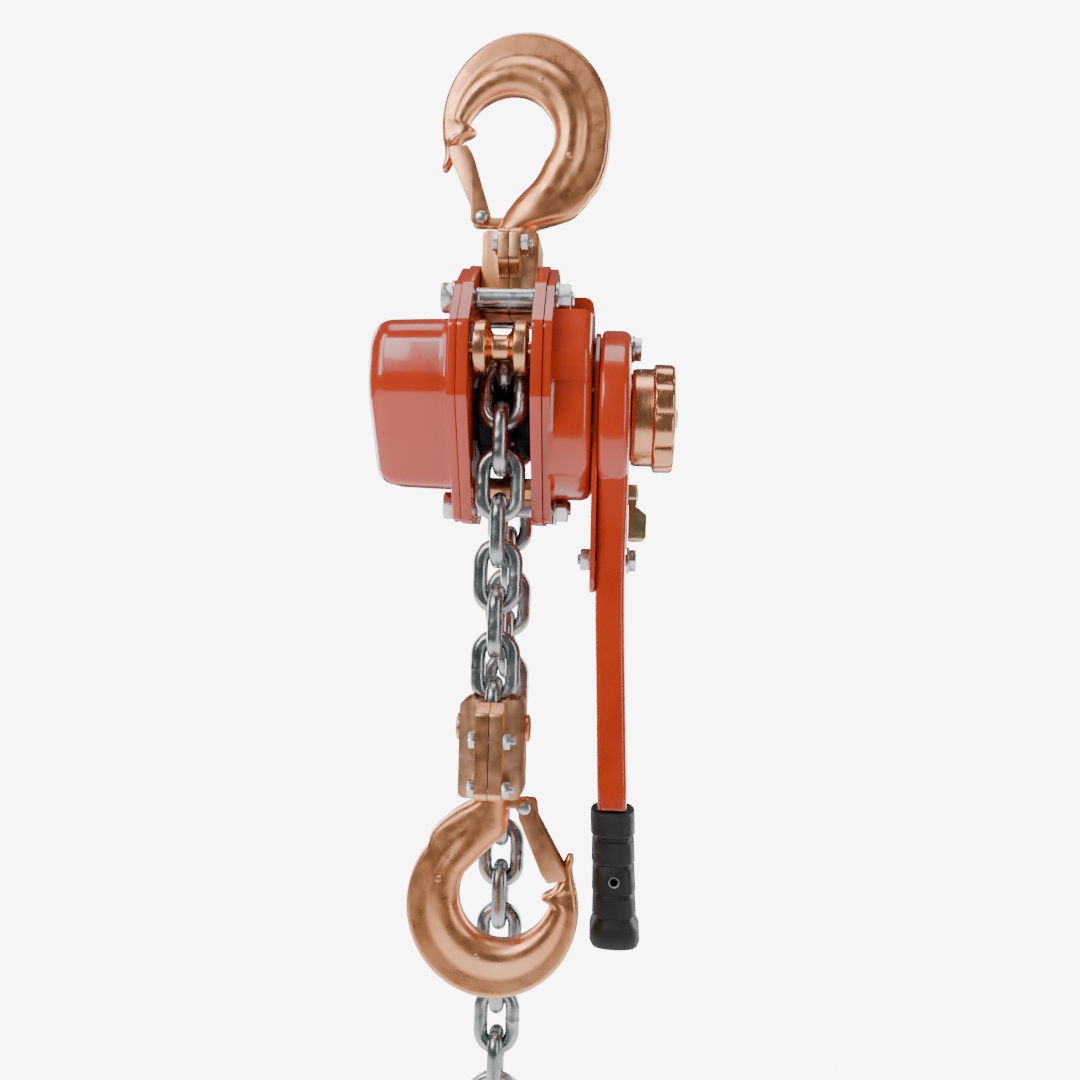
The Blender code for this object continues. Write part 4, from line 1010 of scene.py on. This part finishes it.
def selector():
    """The pawl between the lever's plates and its thumb tab outside."""
    claw = rounded([(-9, -42, 3), (9, -42, 3), (7.6, -25.4, 1), (3, -28.5, 0), (-3, -28.5, 0),
                    (-7.6, -25.4, 1)])
    machined(prism(claw, 46.2, 53.8), "selector_claw", YELLOW, "selector", [], 0.5, "selector_pawl")
    add(rod(SELECTOR, 45.3, 58.6, 3.6, 36), "selector_shaft", STEEL, "selector", slot="yellow_zinc")
    stub = eased([(58.0, 0, 0), (58.0, 5.2, 0.2), (63.0, 5.0, 0.5), (63.0, 3.0, 0.2), (63.6, 2.6, 0.3),
                  (63.6, 0, 0)], 3)
    add(turned(stub, SELECTOR, 48), "selector_hub", YELLOW, "selector")
    side = rounded([(59.0, -59.6, 1.2), (65.4, -59.6, 1.6), (67.6, -57.6, 2.6), (67.6, -46.4, 1.6),
                    (62.6, -42.6, 0.6), (62.6, -33.2, 1.0), (59.0, -33.2, 0.8)], 5)
    front = rounded([(-4.6, -41, 2), (-6.5, -45, 2), (-6.5, -59.6, 2.5), (6.5, -59.6, 2.5), (6.5, -45, 2),
                     (4.6, -41, 2), (4.2, -30, 2), (-4.2, -30, 2)], 5)
    tab = object_from(prism(side, -6.5, 6.5, "Y"), "selector_tab", YELLOW)
    carve(tab, [prism(front, 55, 70)], "INTERSECT")
    fit(soften(tab, 0.45), "selector")


def lobe_hollow(x, angle):
    """How far the rim is drawn in between its lobes, as a share of its radius."""
    wave = 0.5 + 0.5 * math.cos(WHEEL_LOBES * angle)
    return 0.105 * min(1.0, max(0.0, x - 69.6) / 1.4) * (1 - wave**0.42)


def hand_wheel():
    """Cast hand wheel: a plain barrel and a rim with rounded lobes and hollows."""
    outline = eased([(59.2, 15.6, 0), (59.2, 22.6, 0.8), (61.0, 23.3, 1.2), (69.2, 23.4, 0.6), (70.0, 26.3, 0.9),
                     (79.4, 26.2, 2.2), (79.4, 15.2, 1.2), (74.2, 13.8, 0.8), (74.2, 7.4, 0), (66, 7.4, 0),
                     (66, 15.6, 0)], 6)
    wheel = turned(outline, AXIS, 252)
    for vertex in wheel.verts:
        local = vertex.co * 1000 - Vector((0, 0, SHEAVE_Z))
        radius = math.hypot(local.y, local.z)
        if radius > WHEEL_BARREL:
            hollow = lobe_hollow(local.x, math.atan2(local.z, local.y))
            size = 1 - hollow * min(1.0, (radius - WHEEL_BARREL) / 4)
            vertex.co = point(local.x, local.y * size, local.z * size)
    add(wheel, "hand_wheel_casting", TURNED, "drive", "hand_wheel", smooth=46)
    hexagon("shaft_nut_hex", "drive", AXIS, 74.4, 80.0, 16.2, "shaft_nut", ends=(False, True), edge=0.2)
    thread("shaft_end", "drive", AXIS, 76.5, 81.2, 5.2, 1.2, STEEL)


# ---------------------------------------------------------------- load train and brake


def tooth_outline(teeth, phase=0.0, thin=0.32):
    """Curved tooth flanks: one tooth is centred on the phase angle."""
    pitch, out = MODULE * teeth / 2, []
    tip, root = pitch + MODULE * 0.84, pitch - MODULE * 1.10
    half = math.pi / (2 * teeth) - thin / (2 * pitch)
    slope = math.radians(20)
    base = pitch * math.cos(slope)
    flank = []
    for k in range(7):
        r = root + (tip - root) * k / 6
        turn = math.acos(min(1, base / max(r, base)))
        swell = (math.tan(turn) - turn) - (math.tan(slope) - slope)
        flank.append((r, max(half * 0.42, half - swell)))
    for k in range(teeth):
        middle = phase + 2 * math.pi * k / teeth
        out += [(r * math.cos(middle - w), r * math.sin(middle - w)) for r, w in flank]
        out += [(r * math.cos(middle + w), r * math.sin(middle + w)) for r, w in reversed(flank)]
    return out


def mesh_phase(angle, driver, driven):
    """The turn that puts a driven gear's gap on its driver's tooth, seen at an angle from the driver."""
    position = angle / (2 * math.pi / driver)
    slip = (position - math.floor(position)) * (2 * math.pi / driver)
    return angle + math.pi + math.pi / driven + slip * driver / driven


def gear(outline, low, high, name, body, *nodes, holes=()):
    machined(prism(outline, low, high), name, STEEL, body, holes, 0.22, *nodes, segments=2, angle=40)


def sheave():
    """The load sheave with its four chain pockets, and the load gear on its hub."""
    outline = eased([(-35.4, 6.9, 0), (-35.4, 9.2, 0.4), (-20.9, 9.2, 0.6), (-20.9, 12.6, 0.4),
                     (-12.4, 12.6, 0.8), (-12.4, 21.2, 0.9), (-4.4, 21.2, 1.6), (-4.4, 13.2, 1.2),
                     (4.4, 13.2, 1.2), (4.4, 21.2, 1.6), (12.4, 21.2, 0.9), (12.4, 12.6, 0.8),
                     (19.2, 12.6, 0.4), (19.2, 6.9, 0)], 5)
    body = object_from(turned(outline, AXIS, 120), "load_sheave_fine", BLACKENED, 45)
    pockets = []
    for k in range(4):
        angle = math.radians(POCKET_START + 90 * k)
        pull = Vector((0, math.sin(angle), math.cos(angle)))
        middle = Vector((0, -math.cos(angle), math.sin(angle))) * 22.6
        for side in (-1, 1):
            path = [middle + Vector((side * 8.0, 0, 0)) + pull * t for t in (-9.5, -6, 0, 6, 9.5)]
            pockets.append(tube(path, 4.0, 24))
    fit(shade(carve(body, pockets), 42), "sheave", "load_sheave")
    holes = [drill(AXIS, -40, -10, 9.5, 60)]
    gear(tooth_outline(LOAD_TEETH), -34.6, -22.0, "load_gear_fine", "sheave", "load_gear", holes=holes)


def reduction_gears():
    tilt = math.radians(20)
    for place, angle in (("rear", tilt), ("front", math.pi - tilt)):
        y, z = GEAR_DISTANCE * math.cos(angle), GEAR_DISTANCE * math.sin(angle)
        body = "reduction_" + place
        small = tooth_outline(PINION_TEETH, mesh_phase(angle, LOAD_TEETH, PINION_TEETH))
        large = tooth_outline(WHEEL_TEETH, mesh_phase(angle, SHAFT_TEETH, WHEEL_TEETH))
        small, large = [[(u + y, v + z) for u, v in teeth] for teeth in (small, large)]
        dish = turned([(-46, 7.6), (-46, 12.0), (-43.4, 11.4), (-43.4, 8.2)], (y, z), 48)
        gear(large, -44.5, -36.6, body + "_wheel", body, "reduction_gear_" + place, holes=[dish])
        gear(small, -35.4, -21.8, body + "_pinion", body)
        add(rod((y, z), -38, -35.1, 6.4), body + "_hub", STEEL, body)
        add(rod((y, z), -48.2, -19.6, 4.0, 36), body + "_journal", STEEL, body)


def shaft():
    outline = eased([(-52.5, 0, 0), (-52.5, 3.4, 0.5), (-36.0, 3.4, 0.2), (-35.6, 6.0, 0.3), (19.4, 6.0, 0.2),
                     (19.6, 6.4, 0.1), (57.6, 6.4, 0.6), (57.6, 0, 0)], 3)
    add(turned(outline, AXIS, 48), "drive_shaft_fine", STEEL, "drive", "drive_shaft")
    thread("drive_shaft_thread", "drive", AXIS, 19.8, 57.2, 6.9, 2.4, STEEL)
    gear(tooth_outline(SHAFT_TEETH, thin=0.42), -46.0, -36.2, "drive_pinion", "drive")


def ratchet_outline():
    """Twenty hooked teeth, in order round the disc."""
    outline = []
    for k in range(20):
        start = 2 * math.pi * k / 20
        for r, lag in ((31.0, 0.0), (30.6, 0.02), (28.6, 0.15), (27.7, 0.24), (27.5, 0.275)):
            outline.append((r * math.cos(start - lag), r * math.sin(start - lag)))
    return sorted(outline, key=lambda spot: math.atan2(spot[1], spot[0]))


def brake():
    """Friction hub, two lined plates and the ratchet disc between them, and the pawls."""
    hub = eased([(19.8, 7.2, 0), (19.8, 19.5, 0.8), (24.0, 19.5, 0.5), (24.0, 12, 0.4), (32.6, 12, 0.4),
                 (32.6, 7.2, 0)])
    add(turned(hub, AXIS, 72), "friction_hub_fine", STEEL, "drive", "friction_hub")
    for low, high, place in ((24.3, 26.2, "inner"), (31.3, 32.6, "outer")):
        disc = object_from(washer(AXIS, low, high, 12.4, 25.5), f"lining_{place}", LINING)
        slot = block((low - 1, low + 0.5), (18, 27), (-0.5, 0.5))
        bmesh.ops.rotate(slot, verts=slot.verts, cent=point(0, 0, 0), matrix=Matrix.Rotation(0.3, 3, "X"))
        fit(carve(disc, [slot]), "drive", "friction_plate_" + place)
    disc, bore = prism(ratchet_outline(), 26.6, 30.9), drill(AXIS, 20, 40, 12.5, 72)
    machined(disc, "ratchet_disc_fine", DARK_STEEL, "drive", [bore], 0.25, "ratchet_disc", segments=2, angle=40)
    change_gear()
    claw = rounded([(-3.5, 4.2, 2), (4.2, 3.6, 3), (4.2, -4, 3), (-3.4, -6.6, 0.5), (-6.2, -3.2, 0.5)])
    for s, place in ((-1, "front"), (1, "rear")):
        y, z = s * 29.0, 29.0
        body = "pawl_" + place
        shape = prism([(s * u + y, v + z) for u, v in claw], 26.8, 30.7)
        machined(shape, body + "_claw", DARK_STEEL, body, [], 0.3, "brake_pawl_" + place, segments=2)
        add(rod((y, z), 23.3, 34.0, 2.4, 28), body + "_pin", STEEL, body)


def change_gear():
    """The threaded hub that clamps the brake, with the ratchet teeth that the selector turns."""
    flange = eased([(33.0, 7.3, 0), (33.0, 25.5, 0.7), (36.6, 25.5, 0.7), (36.6, 19, 1.0), (55.4, 19, 0.8),
                    (55.4, 7.3, 0)], 5)
    add(turned(flange, AXIS, 84), "change_gear_hub", STEEL, "drive", "change_gear")
    teeth = []
    for k in range(12):
        base = 2 * math.pi * k / 12
        for r, lag in ((18.6, -0.18), (20.2, -0.13), (21.4, -0.085), (21.4, 0.085), (20.2, 0.13),
                       (18.6, 0.18)):
            teeth.append((r * math.cos(base + lag), r * math.sin(base + lag)))
    cog, bore = prism(teeth, 45.6, 54.2), drill(AXIS, 40, 60, 16, 60)
    machined(cog, "change_gear_teeth", STEEL, "drive", [bore], 0.35, segments=2, angle=40)


# ---------------------------------------------------------------- room, light, camera


def room():
    """A pale floor well below the hanging hoist."""
    floor_z = -1.1
    made = bmesh.new()
    corners = ((-2.6, -1.4), (2.6, -1.4), (2.6, 1.15), (-2.6, 1.15))
    made.faces.new([made.verts.new((x, y, floor_z)) for x, y in corners])
    pale = Nodes("pale_floor", (0.9, 0.9, 0.9), 0.7, 0.0)
    roughness = pale.grey(pale.noise(3, 2), 0.65, 0.8)
    pale.feed(pale.shader, {"Roughness": roughness, "Emission Color": (1, 1, 1, 1), "Emission Strength": 0.9})
    mesh = bpy.data.meshes.new("studio_floor")
    made.to_mesh(mesh)
    made.free()
    mesh.materials.append(pale.material)
    obj = bpy.data.objects.new("studio_floor", mesh)
    bpy.context.scene.collection.objects.link(obj)


def lamp(name, spot, target, size, power):
    """A soft area light, which the camera doesn't see."""
    data = bpy.data.lights.new(name, "AREA")
    data.shape = "RECTANGLE"
    data.size, data.size_y = size
    data.energy = power
    obj = bpy.data.objects.new(name, data)
    bpy.context.scene.collection.objects.link(obj)
    obj.location = spot
    obj.rotation_euler = (Vector(target) - Vector(spot)).to_track_quat("-Z", "Y").to_euler()
    obj.visible_camera = False


def white(node, strength):
    node.inputs["Color"].default_value = (1, 1, 1, 1)
    node.inputs["Strength"].default_value = strength
    return node.outputs["Background"]


def lights():
    """Dim white surroundings behind a bright white backdrop, and soft lamps round the hoist."""
    world = bpy.data.worlds.new("soft_room")
    bpy.context.scene.world = world
    world.use_nodes = True
    nodes, join = world.node_tree.nodes, world.node_tree.links.new
    path = nodes.new("ShaderNodeLightPath")
    choice = nodes.new("ShaderNodeMixShader")
    join(path.outputs["Is Camera Ray"], choice.inputs["Fac"])
    join(white(nodes["Background"], 0.16), choice.inputs[1])
    join(white(nodes.new("ShaderNodeBackground"), 8.0), choice.inputs[2])
    join(choice.outputs["Shader"], nodes["World Output"].inputs["Surface"])
    middle = (0, 0, -0.2)
    lamp("key_left", (-1.0, -0.9, 0.55), middle, (0.45, 1.1), 12)
    lamp("key_high", (-0.70, -1.5, 0.78), (0, 0, 0), (0.55, 0.55), 11)
    lamp("fill_right", (1.2, -0.8, 0.0), middle, (0.3, 1.3), 5.5)
    lamp("top", (0.0, -0.1, 1.2), middle, (1.0, 0.7), 9)
    for side in (-1, 1):
        lamp(f"rim_{side}", (side * 1.35, 1.2, 0.0), middle, (0.8, 1.8), 30)


def camera():
    """Level with the housing, turned a little to the left and rolled a little."""
    data = bpy.data.cameras.new("view")
    data.sensor_width = 36
    data.lens = 39.2333
    data.clip_start = 0.01
    obj = bpy.data.objects.new("view", data)
    bpy.context.scene.collection.objects.link(obj)
    yaw, roll = math.radians(4.0), math.radians(1.6)
    forward = Vector((-math.sin(yaw), math.cos(yaw), 0))
    right = Vector((forward.y, -forward.x, 0))
    up = Vector((0, 0, 1)) * math.cos(roll) - right * math.sin(roll)
    matrix = Matrix((forward.cross(up), up, -forward)).transposed().to_4x4()
    matrix.translation = point(56.5, -565.5, -59.8)
    obj.matrix_world = matrix
    bpy.context.scene.camera = obj


camera()
lights()
room()
chain()
hook_body(TOP)
hook_body(LOW)
latch(TOP)
latch(LOW)
side_plates()
stays()
guides()
gear_cover()
brake_cover()
top_yoke()
bottom_yoke()
lever()
grip()
selector()
hand_wheel()
sheave()
reduction_gears()
shaft()
brake()
